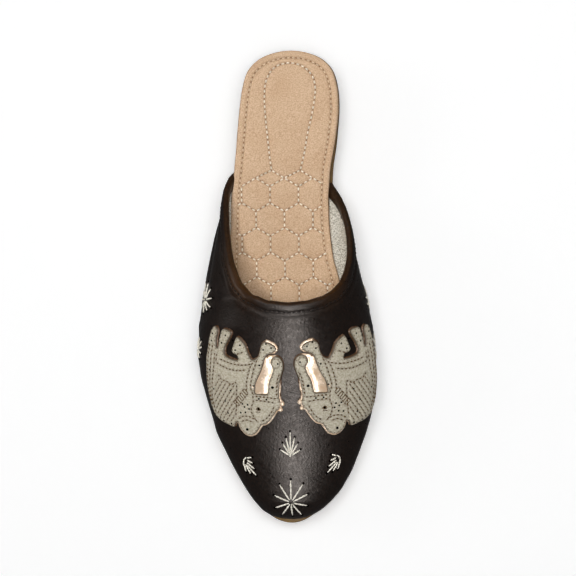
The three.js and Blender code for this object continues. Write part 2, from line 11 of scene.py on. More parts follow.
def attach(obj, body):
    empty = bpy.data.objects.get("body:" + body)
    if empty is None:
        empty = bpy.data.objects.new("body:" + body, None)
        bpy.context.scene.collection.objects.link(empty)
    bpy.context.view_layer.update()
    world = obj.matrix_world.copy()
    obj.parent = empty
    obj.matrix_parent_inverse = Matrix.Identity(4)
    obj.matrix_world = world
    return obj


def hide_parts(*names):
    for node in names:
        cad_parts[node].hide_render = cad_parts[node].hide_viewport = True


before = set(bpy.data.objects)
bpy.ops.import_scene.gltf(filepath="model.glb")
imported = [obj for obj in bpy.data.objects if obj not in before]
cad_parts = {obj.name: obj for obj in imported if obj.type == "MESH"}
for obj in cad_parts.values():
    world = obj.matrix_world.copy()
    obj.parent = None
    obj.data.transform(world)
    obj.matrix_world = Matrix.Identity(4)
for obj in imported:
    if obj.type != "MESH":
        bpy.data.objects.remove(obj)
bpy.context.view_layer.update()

# Tables are in millimetres. A station s runs from the heel (0) to the toe tip (LENGTH), x runs across the
# sole, and phi around the upper's section from the lateral feather edge (-1) over the ridge (0) to the medial
# one (1). q is the way from the ridge over the leather. x and q are negative on the lateral side.
LENGTH = 250.0
UPPER_TIP = 247.5
PLAN_SHIFT = 2.05
GAP = 0.3
WALL, SKIVED_WALL = 1.8, 1.2
SKIVING = (12, 18)  # way from the topline over which the wall grows thick
FEATHER_INSET, FEATHER_SHARE = 1.0, 0.95
TURN_UNDER = math.radians(62)
GIRTH_PHI = 0.72
VAMP_POWER = 1.15
LIP_HEIGHT = 2.8
SOLE_EDGE = 0.8
INSOLE_THICKNESS = 4.0

SOLE_RIM = [  # station, lateral and medial half width
    (0, 0, 0), (4, 16.6, 16), (10, 23.2, 22.2), (20, 26.1, 25), (30, 27.3, 25.4), (45, 28.7, 24.3),
    (60, 30, 22), (75, 30.3, 21.2), (90, 30.2, 21.6), (107, 30.6, 23.2), (121, 31.6, 26.8),
    (136, 33.6, 30.4), (148, 36.6, 33.6), (160, 40.2, 36.6), (172, 41.8, 38.2), (184, 41.6, 38.8),
    (201, 38, 37.4), (213, 33.6, 34.2), (225, 27.6, 28.2), (237, 20, 20), (243, 15.4, 13.9), (LENGTH, 0, 0),
]
SOLE_HEIGHT = [  # station, bottom, top
    (0, 0, 25), (30, 0, 24.6), (58, 0, 23), (75, 1.6, 20.6), (95, 2.6, 17), (115, 1.8, 13.2),
    (135, 0.3, 10.2), (150, 0, 8.6), (170, 0, 8), (195, 0, 8), (210, 0.8, 8.6), (225, 2.6, 10),
    (240, 5.6, 12.4), (LENGTH, 8.4, 14.6),
]
SOLE_TAPER = [(0, 8), (25, 6), (60, 5.4), (110, 5), (160, 4.4), (LENGTH, 4.6)]  # station, way in below
SOLE_WALL = [(0.05, 1), (0.16, 0.94), (0.21, 0.91), (0.6, 0.46), (1, 0.24)]  # share of height, share of taper
SOLE_LIP = [(0.6, 2.78), (0.14, 2.55), (0, 2.1), (0, 0.8), (0.15, 0.3), (0.5, 0)]  # inset, way down
UPPER = [  # station, lateral and medial half girth, their rises, rise of the ridge
    (60, 30.6, 22, 4, 5, 12), (70, 33.2, 23.6, 6, 9, 17), (85, 36.9, 28.4, 9, 14, 26),
    (100, 40.4, 32.4, 12, 17, 34), (115, 43.4, 36, 14, 17.5, 41), (130, 46.3, 39.8, 15, 17, 46),
    (145, 48.9, 42.8, 15, 16, 46), (160, 49.4, 44.4, 14.6, 15, 43), (170, 48.2, 44.6, 14, 14.4, 40),
    (180, 45.8, 44, 13.4, 13.6, 36.6), (190, 43, 42.4, 12.6, 12.6, 33), (200, 40.3, 39.7, 11.6, 11.6, 29.6),
    (210, 35.7, 36.2, 10.6, 10.6, 26.4), (220, 30.8, 32.2, 9.4, 9.4, 23), (230, 25.1, 27, 8, 8, 19.4),
    (237, 20.3, 21.2, 6.6, 6.6, 16.2), (242, 16, 15.6, 5, 5, 12.2), (245.2, 11.6, 10.2, 3.2, 3.2, 7.8),
    (UPPER_TIP, 0, 0, 0, 0, 0),
]
COLLAR = [  # phi, lateral and medial station of the topline; the first row rounds the throat
    (-0.1, 132.5, 132.6), (0, 133.4, 133.4), (0.1, 132.5, 132.6), (0.19, 129.2, 130.6), (0.27, 123.2, 127.6),
    (0.35, 112.4, 123.2), (0.42, 100.6, 117.8), (0.5, 88.4, 110), (0.58, 79, 100.5), (0.66, 73, 90.5),
    (0.8, 67.6, 78), (1, 64, 69.5),
]
INSOLE_INSET = [  # station, lateral and medial way in from the sole's rim at the top, and undercuts
    (0, 0.3, 0.3, 0, 0), (12, 0.2, 0.4, 0, 0), (38, 0.1, 0.5, 0, 0), (54, 0.1, 1, 0, 0.4),
    (64, -0.2, 1.3, 0.8, 0.8), (76, -1.6, 1.6, 3, 1.4), (100, -2.6, 1.8, 5, 1.5), (115, -2.4, 1.5, 5, 1.4),
    (128, -0.8, 1.5, 4, 1), (150, 3, 3.1, 0, 0), (225, 3.3, 3.3, 0, 0), (240, 4.8, 4.8, 0, 0),
    (LENGTH, 6.6, 6.6, 0, 0),
]


# Curves and lines
def curve(rows, column, power=1):
    """Smooth curve through a table that never overshoots it; power 2 gives round ends."""
    xs = np.array([row[0] for row in rows], float)
    ys = np.array([row[column] for row in rows], float) ** power
    steps = np.diff(xs)
    slopes = np.diff(ys) / steps
    tangents = np.zeros(len(xs))
    tangents[0] = slopes[0]
    tangents[-1] = slopes[-1]
    for i in range(1, len(xs) - 1):
        if slopes[i - 1] * slopes[i] > 0:
            before = 2 * steps[i] + steps[i - 1]
            after = steps[i] + 2 * steps[i - 1]
            tangents[i] = (before + after) / (before / slopes[i - 1] + after / slopes[i])

    def value(x):
        at = np.clip(x, xs[0], xs[-1])
        i = np.clip(np.searchsorted(xs, at, side="right") - 1, 0, len(slopes) - 1)
        t = (at - xs[i]) / steps[i]
        bend = (slopes[i] - tangents[i]) * (1 - t) - (tangents[i + 1] - slopes[i]) * t
        y = ys[i] + t * (slopes[i] * steps[i] - steps[i] * (1 - t) * bend)
        return np.maximum(y, 0) ** (1 / power)

    return value


def sided(rows, lateral, medial, power=1):
    """A table's lateral and medial columns as one function of a side and a place."""
    curves = curve(rows, lateral, power), curve(rows, medial, power)
    return lambda side, x: np.where(side < 0, curves[0](x), curves[1](x))


rim = sided(SOLE_RIM, 1, 2, 2)
girth = sided(UPPER, 1, 2, 2)
girth_rise = sided(UPPER, 3, 4, 2)
collar = sided(COLLAR, 1, 2)
ridge_rise = curve(UPPER, 5, 2)
sole_bottom = curve(SOLE_HEIGHT, 1)
sole_top = curve(SOLE_HEIGHT, 2)
sole_taper = curve(SOLE_TAPER, 1)
wall_inset = curve(SOLE_WALL, 1)
insole_undercut = sided(INSOLE_INSET, 3, 4)


def insole_inset(side, s):
    stations, lateral, medial = np.array(INSOLE_INSET).T[:3]
    return np.where(side < 0, np.interp(s, stations, lateral), np.interp(s, stations, medial))


def smoothstep(low, high, x):
    t = np.clip((x - low) / (high - low), 0, 1)
    return t * t * (3 - 2 * t)


def bell(x, width):
    """1 at 0, and nearly 0 from two widths on."""
    return np.exp(-((x / width) ** 2))


def wave(s, across, lengths):
    return np.sin(s / lengths[0] + across / lengths[1])


def side_of(phi):
    return np.where(phi < 0, -1, 1)


def placed(x, s, z):
    return np.stack(np.broadcast_arrays(x + PLAN_SHIFT, LENGTH / 2 - s, z), -1)


def unit(vectors):
    return vectors / np.maximum(np.linalg.norm(vectors, axis=-1, keepdims=True), 1e-9)


def spline(points, count):
    """Smooth line through a few points."""
    points = np.array(points, float)
    ends = np.concatenate([[2 * points[0] - points[1]], points, [2 * points[-1] - points[-2]]])
    at = np.linspace(0, len(points) - 1, count)
    i = np.minimum(at.astype(int), len(points) - 2)
    t = (at - i)[:, None]
    a, b, c, d = ends[i], ends[i + 1], ends[i + 2], ends[i + 3]
    return b + 0.5 * t * (c - a + t * (2 * a - 5 * b + 4 * c - d + t * (3 * (b - c) + d - a)))


def walk(line):
    """A line's length, and a function from distances along it to its points, or to other values on it."""
    run = np.concatenate([[0], np.cumsum(np.linalg.norm(np.diff(line, axis=0), axis=1))])
    return run[-1], lambda at, values=line: np.stack([np.interp(at, run, column) for column in values.T], -1)


def closed(loop):
    return np.concatenate([loop, loop[:1]])


def nearest(points, line):
    """Distance to a line and the nearest point of it, in the plane."""
    best = np.full(points.shape[:-1], np.inf)
    foot = np.zeros(points.shape)
    for a, b in zip(line[:-1], line[1:]):
        run = b - a
        t = np.clip((points - a) @ run / max(run @ run, 1e-12), 0, 1)
        here = a + t[..., None] * run
        distance = np.linalg.norm(points - here, axis=-1)
        closer = distance < best
        best = np.where(closer, distance, best)
        foot = np.where(closer[..., None], here, foot)
    return best, foot


def away_from(points, line):
    return nearest(points, line)[0]


def inside(points, outline):
    odd = np.zeros(points.shape[:-1], bool)
    for (ax, ay), (bx, by) in zip(outline, np.roll(outline, -1, 0)):
        if ay != by:
            across = ax + (points[..., 1] - ay) * (bx - ax) / (by - ay)
            odd ^= ((ay > points[..., 1]) != (by > points[..., 1])) & (points[..., 0] < across)
    return odd


def dashes(line, pitch, share):
    """Starts and ends of stitches along a line."""
    length, place = walk(np.asarray(line, float))
    count = max(1, round(length / pitch))
    at = (np.arange(count) + 0.5) * length / count
    half = share * length / count / 2
    return place(at - half), place(at + half)


def joined(parts):
    """One array of starts and one of ends, from pairs of them."""
    return (np.concatenate(part) for part in zip(*parts))


def between(starts, ends, steps):
    t = np.linspace(0, 1, steps)[:, None]
    return starts[:, None] * (1 - t) + ends[:, None] * t


# The upper's surface
def upper_point(s, phi):
    s, phi = np.broadcast_arrays(np.asarray(s, float), np.asarray(phi, float))
    sign = np.where(phi < 0, -1.0, 1.0)
    around = np.abs(phi)
    wide = girth(sign, s)
    base = sole_top(s) + GAP
    level = base + girth_rise(sign, s)
    turn = np.clip(around / GIRTH_PHI, 0, 1) * (math.pi / 2)
    drop = np.maximum(np.cos(turn), 0) ** VAMP_POWER
    top_x, top_z = wide * np.sin(turn), level + (base + ridge_rise(s) - level) * drop
    foot = np.minimum(rim(sign, s) - FEATHER_INSET, wide * FEATHER_SHARE)
    turn = np.clip((around - GIRTH_PHI) / (1 - GIRTH_PHI), 0, 1) * TURN_UNDER
    share = (np.cos(turn) - math.cos(TURN_UNDER)) / (1 - math.cos(TURN_UNDER))
    low_x = foot + (wide - foot) * share
    low_z = level - (level - base) * np.sin(turn) / math.sin(TURN_UNDER)
    low = around > GIRTH_PHI
    return placed(sign * np.where(low, low_x, top_x), s, np.where(low, low_z, top_z))


def upper_slopes(s, phi, near=0.01):
    s, phi = np.broadcast_arrays(np.asarray(s, float), np.asarray(phi, float))
    here = np.minimum(s, UPPER_TIP - 2 * near)
    along = (upper_point(here + near, phi) - upper_point(here - near, phi)) / (2 * near)
    low, high = np.maximum(phi - near, -1), np.minimum(phi + near, 1)
    around = (upper_point(here, high) - upper_point(here, low)) / (high - low)[..., None]
    return along, around


def upper_normal(s, phi):
    return unit(np.cross(*upper_slopes(s, phi)))


def upper_offset(s, phi, distance):
    return upper_point(s, phi) + upper_normal(s, phi) * np.asarray(distance)[..., None]


ARC_S = np.linspace(COLLAR[-1][1], UPPER_TIP - 0.05, 240)
ARC_PHI = np.linspace(-1, 1, 401)
ARC_STEPS = np.linalg.norm(np.diff(upper_point(ARC_S[:, None], ARC_PHI[None, :]), axis=1), axis=-1)
ARC = np.concatenate([np.zeros((len(ARC_S), 1)), np.cumsum(ARC_STEPS, 1)], 1)
ARC -= ARC[:, len(ARC_PHI) // 2][:, None]


def arc_row(s):
    row = np.interp(s, ARC_S, np.arange(len(ARC_S)))
    low = np.minimum(row.astype(int), len(ARC_S) - 2)
    return low, row - low


def arc_of(s, phi):
    """Distance from the ridge over the leather."""
    s, phi = np.broadcast_arrays(np.asarray(s, float), np.asarray(phi, float))
    low, share = arc_row(s)
    column = (phi + 1) / 2 * (len(ARC_PHI) - 1)
    left = np.clip(column.astype(int), 0, len(ARC_PHI) - 2)
    part = column - left
    before = ARC[low, left] * (1 - part) + ARC[low, left + 1] * part
    after = ARC[low + 1, left] * (1 - part) + ARC[low + 1, left + 1] * part
    return before * (1 - share) + after * share


def phi_of(s, q):
    s, q = np.broadcast_arrays(np.asarray(s, float), np.asarray(q, float))
    low, share = arc_row(s)
    found = np.empty(s.shape)
    for i in np.ndindex(s.shape):
        row = ARC[low[i]] * (1 - share[i]) + ARC[low[i] + 1] * share[i]
        found[i] = np.interp(q[i], row, ARC_PHI)
    return found


def on_leather(q, s, height):
    """Points and normals over flat places on the leather."""
    phi = phi_of(s, q)
    normal = upper_normal(s, phi)
    return upper_point(s, phi) + normal * np.asarray(height)[..., None], normal


TOPLINE_NEAR = 0.004
TOPLINE_HOPS = 4
LAST_PHI = 0.99


def from_topline(phi, down, out):
    """Walks over the leather from the topline, square to it."""
    s = collar(side_of(phi), np.abs(phi))
    ends = (phi - TOPLINE_NEAR, phi + TOPLINE_NEAR)
    before, after = (upper_point(collar(side_of(at), np.abs(at)), at) for at in ends)
    tangent = unit(after - before)
    normal = upper_normal(s, phi)
    away = unit(np.cross(tangent, normal))
    if down < 0:
        return upper_point(s, phi) + away * down + normal * out, normal
    place = phi.copy()
    for _ in range(TOPLINE_HOPS):
        along, around = upper_slopes(s, place)
        aa, ab, bb = (along * along).sum(-1), (along * around).sum(-1), (around * around).sum(-1)
        to_s, to_phi = (along * away).sum(-1), (around * away).sum(-1)
        det = aa * bb - ab * ab
        s = s + (bb * to_s - ab * to_phi) / det * down / TOPLINE_HOPS
        place = place + (aa * to_phi - ab * to_s) / det * down / TOPLINE_HOPS
        place = np.clip(place, -LAST_PHI, LAST_PHI)
    normal = upper_normal(s, place)
    return upper_point(s, place) + normal * out, normal


# Pieces
MERGE_DISTANCE = 2e-6


def add_object(name, data):
    added = bpy.data.objects.new(name, data)
    bpy.context.scene.collection.objects.link(added)
    return added


def new_mesh(name, points, faces, materials, shade=None):
    mesh = bpy.data.meshes.new(name)
    mesh.from_pydata(np.reshape(points, (-1, 3)).tolist(), [], faces)
    for material in materials:
        mesh.materials.append(material)
    if shade is not None:
        mesh.attributes.new("shade", "FLOAT", "POINT").data.foreach_set("value", np.ravel(shade))
    return mesh


def add_piece(name, points, faces, materials, marks=None, replaces=(), shade=None, close=True):
    mesh = new_mesh(name, np.asarray(points) / 1000, faces, materials, shade)
    if marks is not None:
        mesh.polygons.foreach_set("material_index", marks)
    body = bmesh.new()
    body.from_mesh(mesh)
    if close:
        bmesh.ops.remove_doubles(body, verts=body.verts, dist=MERGE_DISTANCE)
        bmesh.ops.recalc_face_normals(body, faces=body.faces)
    for face in body.faces:
        face.smooth = True
    body.to_mesh(mesh)
    body.free()
    piece = add_object(name, mesh)
    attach(piece, "root")
    if replaces:
        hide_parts(*replaces)
    return piece


def numbered(rows, columns):
    return np.arange(rows * columns).reshape(rows, columns)


def grid_faces(index, wrap=False, flip=False):
    """Quads between the rows of a grid of point numbers; wrap closes the rows, flip turns the faces over."""
    here, after = (index, np.roll(index, -1, 1)) if wrap else (index[:, :-1], index[:, 1:])
    corners = [here[:-1], here[1:], after[1:], after[:-1]]
    if flip:
        corners = corners[:1] + corners[:0:-1]
    return np.stack(corners, -1).reshape(-1, 4)


def circle(sides):
    return np.arange(sides) / sides * 2 * math.pi


THREAD_TIP = 0.08
STRANDS, STRAND_TURNS = 2, 4


def tubes(name, centres, normals, radius, material, flat=0.75, sides=6, twist=0.0):
    """Many short rounded threads: centre lines and the normals under them, alike in count."""
    count, steps = centres.shape[:2]
    tangent = unit(np.gradient(centres, axis=1))
    side = unit(np.cross(tangent, normals))
    up = np.cross(side, tangent)
    swell = np.sqrt(np.clip(1 - np.linspace(-1, 1, steps) ** 4, THREAD_TIP, 1))[:, None, None]
    angle = circle(sides)
    ring = side[:, :, None] * np.cos(angle)[:, None] + up[:, :, None] * np.sin(angle)[:, None] * flat
    turn = 2 * math.pi * STRAND_TURNS * np.linspace(0, 1, steps)[:, None]
    strands = 1 + twist * np.cos(STRANDS * angle + turn)[:, :, None]
    points = centres[:, :, None] + ring * swell * strands * radius
    index = numbered(steps, sides)
    first = np.arange(count) * steps * sides
    faces = (first[:, None, None] + grid_faces(index, wrap=True, flip=True)).reshape(-1, 4).tolist()
    faces += (first[:, None] + index[0][::-1]).tolist() + (first[:, None] + index[-1]).tolist()
    return add_piece(name, points, faces, [material], close=False)


LENS_CROWN = 0.06
LENS_ASKEW = (0.3, 1, 0.2)


def dots(name, centres, normals, radius, material, sides=8):
    """Small dark lenses, closed and nearly flat, painting the shadow inside pinholes."""
    side = unit(np.cross(normals, LENS_ASKEW))
    up = np.cross(normals, side)
    angle = circle(sides)
    ring = side[:, None] * np.cos(angle)[:, None] + up[:, None] * np.sin(angle)[:, None]
    ring = centres[:, None] + ring * np.asarray(radius).reshape(-1, 1, 1)
    crown = centres + LENS_CROWN * normals
    points = np.concatenate([ring, crown[:, None], 2 * centres[:, None] - crown[:, None]], 1)
    around = np.stack([np.arange(sides), np.roll(np.arange(sides), -1)], -1)
    top = np.concatenate([around, np.full((sides, 1), sides)], 1)
    base = np.concatenate([around[:, ::-1], np.full((sides, 1), sides + 1)], 1)
    first = np.arange(len(centres)) * (sides + 2)
    faces = (first[:, None, None] + np.concatenate([top, base])).reshape(-1, 3)
    return add_piece(name, points, faces.tolist(), [material], close=False)


def ball(radius, rows, sides):
    """Points and faces of a sphere, as rings between two poles."""
    polar = np.linspace(0, math.pi, rows + 1)[1:-1, None]
    angle = circle(sides)
    rings = np.broadcast_arrays(np.sin(polar) * np.cos(angle), np.sin(polar) * np.sin(angle), np.cos(polar))
    points = radius * np.concatenate([np.stack(rings, -1).reshape(-1, 3), [[0, 0, 1], [0, 0, -1]]])
    index = numbered(rows - 1, sides)
    first, last = index[0].tolist(), index[-1].tolist()
    faces = grid_faces(index, wrap=True).tolist()
    faces += [[index.size, a, b] for a, b in zip(first, first[1:] + first[:1])]
    faces += [[index.size + 1, b, a] for a, b in zip(last, last[1:] + last[:1])]
    return points, faces


# Materials: a noise is a scale and a detail, a gloss adds its range, and a bump its depth and strength
def linear(red, green, blue):
    return [((c / 255 + 0.055) / 1.055) ** 2.4 if c > 10 else c / 255 / 12.92 for c in (red, green, blue)]


class Look:
    """A principled material with procedural colour, gloss and relief."""

    def __init__(self, name, colour, roughness, **sockets):
        self.material = bpy.data.materials.new(name)
        self.material.use_nodes = True
        self.tree = self.material.node_tree
        self.shader = self.tree.nodes["Principled BSDF"]
        self.shader.inputs["Base Color"].default_value = (*linear(*colour), 1)
        self.shader.inputs["Roughness"].default_value = roughness
        for socket, value in sockets.items():
            self.shader.inputs[socket.replace("_", " ")].default_value = value
        self.place = self.node("TexCoord", "Object")
        self.relief = None

    def node(self, kind, output, **inputs):
        """An output of a new node, whose inputs are set to values or linked to other outputs."""
        node = self.tree.nodes.new("ShaderNode" + kind)
        for socket, value in inputs.items():
            if isinstance(value, bpy.types.NodeSocket):
                self.tree.links.new(value, node.inputs[socket])
            else:
                node.inputs[socket].default_value = value
        return node.outputs[output]

    def feed(self, socket, source):
        self.tree.links.new(source, self.shader.inputs[socket])

    def noise(self, scale, detail):
        return self.node("TexNoise", "Fac", Vector=self.place, Scale=scale, Detail=detail)

    def cells(self, scale):
        return self.node("TexVoronoi", "Distance", Vector=self.place, Scale=scale)

    def shade(self):
        source = self.node("Attribute", "Fac")
        source.node.attribute_name = "shade"
        return source

    def ramp(self, source, stops):
        ramp = self.node("ValToRGB", "Color", Fac=source)
        elements = ramp.node.color_ramp.elements
        while len(elements) < len(stops):
            elements.new(0.5)
        for element, (at, colour) in zip(elements, stops):
            element.position = at
            element.color = (*colour, 1)
        return ramp

    def colour(self, source, stops):
        self.base = self.ramp(source, [(at, linear(*colour)) for at, colour in stops])
        self.feed("Base Color", self.base)

    def over(self, source, colour):
        """Lays a second colour over the first, as far as the source says."""
        self.base = self.node("MixRGB", "Color", Fac=source, Color1=self.base, Color2=(*linear(*colour), 1))
        self.feed("Base Color", self.base)

    def gloss(self, source, low, high):
        self.feed("Roughness", self.ramp(source, [(0.3, [low] * 3), (0.7, [high] * 3)]))

    def bump(self, source, distance, strength):
        inputs = {"Height": source, "Distance": distance / 1000, "Strength": strength}
        if self.relief:
            inputs["Normal"] = self.relief
        self.relief = self.node("Bump", "Normal", **inputs)
        self.feed("Normal", self.relief)


def surface(name, colour, roughness, tone, stops, bump, shade=None, gloss=None, **sockets):
    """A look toned by a noise, with a second colour where a piece's shade says, a gloss range and a bump."""
    look = Look(name, colour, roughness, **sockets)
    look.colour(look.noise(*tone), stops)
    if shade:
        look.over(look.shade(), shade)
    if gloss:
        scale, detail, low, high = gloss
        look.gloss(look.noise(scale, detail), low, high)
    scale, detail, distance, strength = bump
    look.bump(look.noise(scale, detail), distance, strength)
    return look


RUBBED_LEATHER = (74, 45, 13)
LEATHER_TINT = (1, 0.91, 0.85, 1)


def leather(name, dark, light, roughness, specular):
    look = surface(
        name, dark, roughness, (900, 6), [(0.36, dark), (0.64, light)], (45, 3, 0.3, 0.35), RUBBED_LEATHER,
        (420, 5, roughness - 0.07, roughness + 0.08), Specular_IOR_Level=specular, Specular_Tint=LEATHER_TINT)
    look.bump(look.cells(820), 0.11, 0.6)
    look.bump(look.noise(2200, 3), 0.08, 0.7)
    return look.material


def insole_look():
    # The second colour darkens the pad: painted shade in the quilting channels, and a darker edge and sides.
    look = surface(
        "insole_leather", (204, 170, 138), 0.85, (1500, 5),
        [(0.3, (178, 145, 113)), (0.5, (201, 169, 137)), (0.7, (217, 189, 159))],
        (1500, 4, 0.04, 0.5), (112, 76, 44))
    mottling = look.ramp(look.noise(70, 4), [(0.42, [0] * 3), (0.72, [0.2] * 3)])
    look.over(mottling, (164, 122, 84))
    return look.material


def thread_look(name, colour, light, specular=0.4):
    return surface(
        name, colour, 0.7, (1400, 3), [(0.3, colour), (0.7, light)], (3200, 2, 0.08, 0.6),
        Specular_IOR_Level=specular).material


BLACK_LEATHER = leather("black_leather", (7, 4, 3), (24, 14, 9), 0.34, 0.54)
BROWN_LEATHER = leather("brown_leather", (27, 15, 6), (48, 29, 12), 0.42, 0.3)
LINING = surface(
    "lining", (186, 178, 160), 0.9, (1500, 4),
    [(0.34, (140, 133, 117)), (0.5, (204, 198, 183)), (0.66, (236, 232, 222))], (1700, 3, 0.1, 0.6)).material
INSOLE = insole_look()
# The sole's second colour is painted shade, laid into the tread's recesses and over the heel.
SOLE = surface(
    "sole_rubber", (112, 84, 38), 0.5, (38, 5), [(0.3, (98, 72, 30)), (0.7, (122, 93, 44))],
    (900, 3, 0.05, 0.5), (52, 36, 13), (60, 4, 0.42, 0.6), Specular_IOR_Level=0.4).material
# The applique's second colour darkens its cut edges and sides, and is painted shade in the pleats and along
# the seam grooves.
FIGURE = surface(
    "applique_leather", (172, 165, 149), 0.62, (1100, 5),
    [(0.3, (148, 140, 120)), (0.5, (177, 169, 150)), (0.7, (196, 189, 171))],
    (1800, 3, 0.05, 0.6), (62, 42, 18)).material
# The foil's second colour is a dark cut edge, and painted shade on the narrow rims and in the window away
# from the trunk.
FOIL = surface(
    "metallic_leather", (244, 214, 180), 0.24, (260, 4), [(0.3, (242, 206, 170)), (0.7, (251, 231, 207))],
    (520, 3, 0.05, 0.5), (78, 42, 2), (260, 3, 0.18, 0.32),
    Metallic=0.3, Coat_Weight=0.8, Coat_Roughness=0.14).material
IVORY = thread_look("ivory_thread", (218, 210, 192), (246, 242, 232))
CREAM = thread_look("cream_thread", (234, 222, 198), (254, 248, 234))
TAN = thread_look("tan_thread", (212, 184, 148), (240, 222, 194))
DARK = thread_look("dark_thread", (14, 10, 8), (26, 18, 13))
UMBER = thread_look("umber_thread", (58, 38, 14), (104, 74, 34))
# Pinholes and needle holes are dark lenses: painted shadow inside the holes.
HOLE_SHADOW = thread_look("pinhole", (5, 3, 2), (9, 6, 4), 0.02)
QUILT_HOLE_SHADOW = thread_look("quilt_pinhole", (138, 100, 62), (164, 126, 88))

# Upper: leather outside, lining inside
UPPER_ROWS, UPPER_COLUMNS = 170, 236
ROW_POWER = 1.35
COLLAR_SEAM = [(0.22, 7.4, 1.4), (-0.3, 5.7, 0.7)]  # height, way down from the topline, width
CREASES = [  # width, height (troughs are negative) and the points (s, phi) of each soft fold
    (2.4, -0.6, [(78, -0.72), (94, -0.66), (110, -0.62), (126, -0.6)]),
    (2.0, 0.4, [(80, -0.82), (98, -0.76), (116, -0.73), (132, -0.72)]),
    (1.6, -0.4, [(86, -0.92), (102, -0.86), (118, -0.84)]),
    (2.8, -0.25, [(127, -0.44), (139, -0.54), (150, -0.7), (158, -0.84)]),
    (2.8, -0.25, [(129, 0.44), (141, 0.55), (151, 0.7), (158, 0.84)]),
    (2.2, -0.5, [(92, 0.78), (106, 0.73), (122, 0.71)]),
    (1.8, 0.35, [(88, 0.88), (104, 0.82), (122, 0.8), (138, 0.8)]),
    (1.3, -0.35, [(150, -0.8), (153, -0.97)]),
    (1.2, -0.3, [(163, -0.84), (165, -0.98)]),
    (1.4, -0.4, [(178, -0.8), (181, -0.96)]),
    (1.2, -0.3, [(196, -0.84), (197, -0.98)]),
    (1.3, -0.3, [(152, 0.82), (155, 0.97)]),
    (1.4, -0.4, [(171, 0.8), (173, 0.97)]),
    (1.2, -0.3, [(190, 0.84), (192, 0.98)]),
    (1.8, 0.3, [(150, -0.9), (170, -0.88), (192, -0.88), (214, -0.9)]),
    (1.8, 0.3, [(150, 0.9), (170, 0.88), (192, 0.88), (214, 0.9)]),
]
CREASE_POINTS = 14
WAVE_HEIGHT = 0.1
BROAD_WAVES, FINE_WAVES = ((8.7, 13.1), (-16.7, 10.3)), (4.9, -6.1)  # lengths along s and q
FADE_AT_TIP, FADE_AT_FEATHER = 4, 0.94  # way from the tip, phi
RUBBED_PHI, RUBBED_SPREAD, RUBBED_DOWN = 0.27, 0.1, 6
RUBBED_LATERAL, RUBBED_MEDIAL = 0.4, 0.22

topline_phi = np.linspace(-1, 1, 241)
topline_s = collar(side_of(topline_phi), np.abs(topline_phi))
topline = np.stack([topline_s, arc_of(topline_s, topline_phi)], -1)


def rubbed(phi):
    """How far the leather at the collar's two corners is rubbed brown."""
    return np.where(phi < 0, RUBBED_LATERAL, RUBBED_MEDIAL) * bell(np.abs(phi) - RUBBED_PHI, RUBBED_SPREAD)


def upper_relief(s, phi, flat, down):
    height = sum(rise * bell(down - place, width) for rise, place, width in COLLAR_SEAM)
    for width, rise, points in CREASES:
        line = spline(points, CREASE_POINTS)
        line[:, 1] = arc_of(line[:, 0], line[:, 1])
        height = height + rise * bell(away_from(flat, line), width)
    q = flat[..., 1]
    waves = wave(s, q, BROAD_WAVES[0]) * wave(s, q, BROAD_WAVES[1]) + 0.5 * wave(s, q, FINE_WAVES)
    fade = smoothstep(0, FADE_AT_TIP, UPPER_TIP - s) * (1 - smoothstep(FADE_AT_FEATHER, 1, np.abs(phi)))
    return (height + WAVE_HEIGHT * waves) * fade


def build_upper():
    phi = np.linspace(-1, 1, UPPER_COLUMNS + 1)[None, :]
    share = np.sin(np.linspace(0, 1, UPPER_ROWS + 1) ** ROW_POWER * (math.pi / 2))[:, None]
    start = collar(side_of(phi), np.abs(phi))
    s = start + (UPPER_TIP - start) * share
    phi = np.broadcast_to(phi, s.shape).copy()
    wall = SKIVED_WALL + (WALL - SKIVED_WALL) * smoothstep(*SKIVING, s - start)
    flat = np.stack([s, arc_of(s, phi)], -1)
    down = away_from(flat, topline)
    relief = upper_relief(s, phi, flat, down)
    shade = rubbed(phi) * bell(down, RUBBED_DOWN)
    phi[-1] = 0
    outer = upper_offset(s, phi, relief)
    inner = upper_offset(s, phi, -wall)
    index = numbered(*s.shape)
    out_faces = grid_faces(index)
    in_faces = grid_faces(index + s.size)[:, ::-1]
    edges = (index[0], index[:, 0], index[:, -1])
    rims = [grid_faces(np.stack([line, line + s.size]), flip=True) for line in edges]
    faces = np.concatenate([out_faces, in_faces, *rims])
    marks = np.zeros(len(faces), int)
    marks[len(out_faces):len(out_faces) + len(in_faces)] = 1
    points = np.concatenate([outer.reshape(-1, 3), inner.reshape(-1, 3)])
    shade = np.concatenate([shade.ravel(), np.zeros(s.size)])
    materials = [BLACK_LEATHER, LINING]
    add_piece("upper_leather", points, faces.tolist(), materials, marks, ["upper"], shade)


# Topline binding with its row of stitches
BINDING_SECTION = [  # way down the leather from the topline, way out from its outer face
    (5.0, 0.12), (5.0, 0.5), (4.75, 0.72), (4.35, 0.66), (4.1, 0.62), (3.8, 0.78), (3.2, 1.12), (2.4, 1.32),
    (1.4, 1.36), (0.5, 1.24), (-0.2, 0.95), (-0.75, 0.45), (-1.05, -0.2), (-1.12, -0.6), (-1.05, -1.0),
    (-0.75, -1.6), (-0.2, -2.05), (0.6, -2.25), (2.4, -2.3), (4.6, -2.2), (5.2, -1.95), (5.2, -1.45),
    (1.8, -1.4), (-0.2, -1.3), (-0.45, -0.6), (-0.2, 0.06), (2.4, 0.1),
]
BINDING_OUTSIDE = 9  # points of the section before the brown inner face
BINDING_PHI = 0.985
BINDING_STEPS = 301
BINDING_SEAM = (4.2, 0.68)  # way down, way out
BINDING_STITCH = 2.5
BINDING_STITCH_SPAN = np.linspace(0.14, 0.86, 6)
BINDING_THREAD, BINDING_ARCH, BINDING_SINK = 0.34, 0.25, 0.1


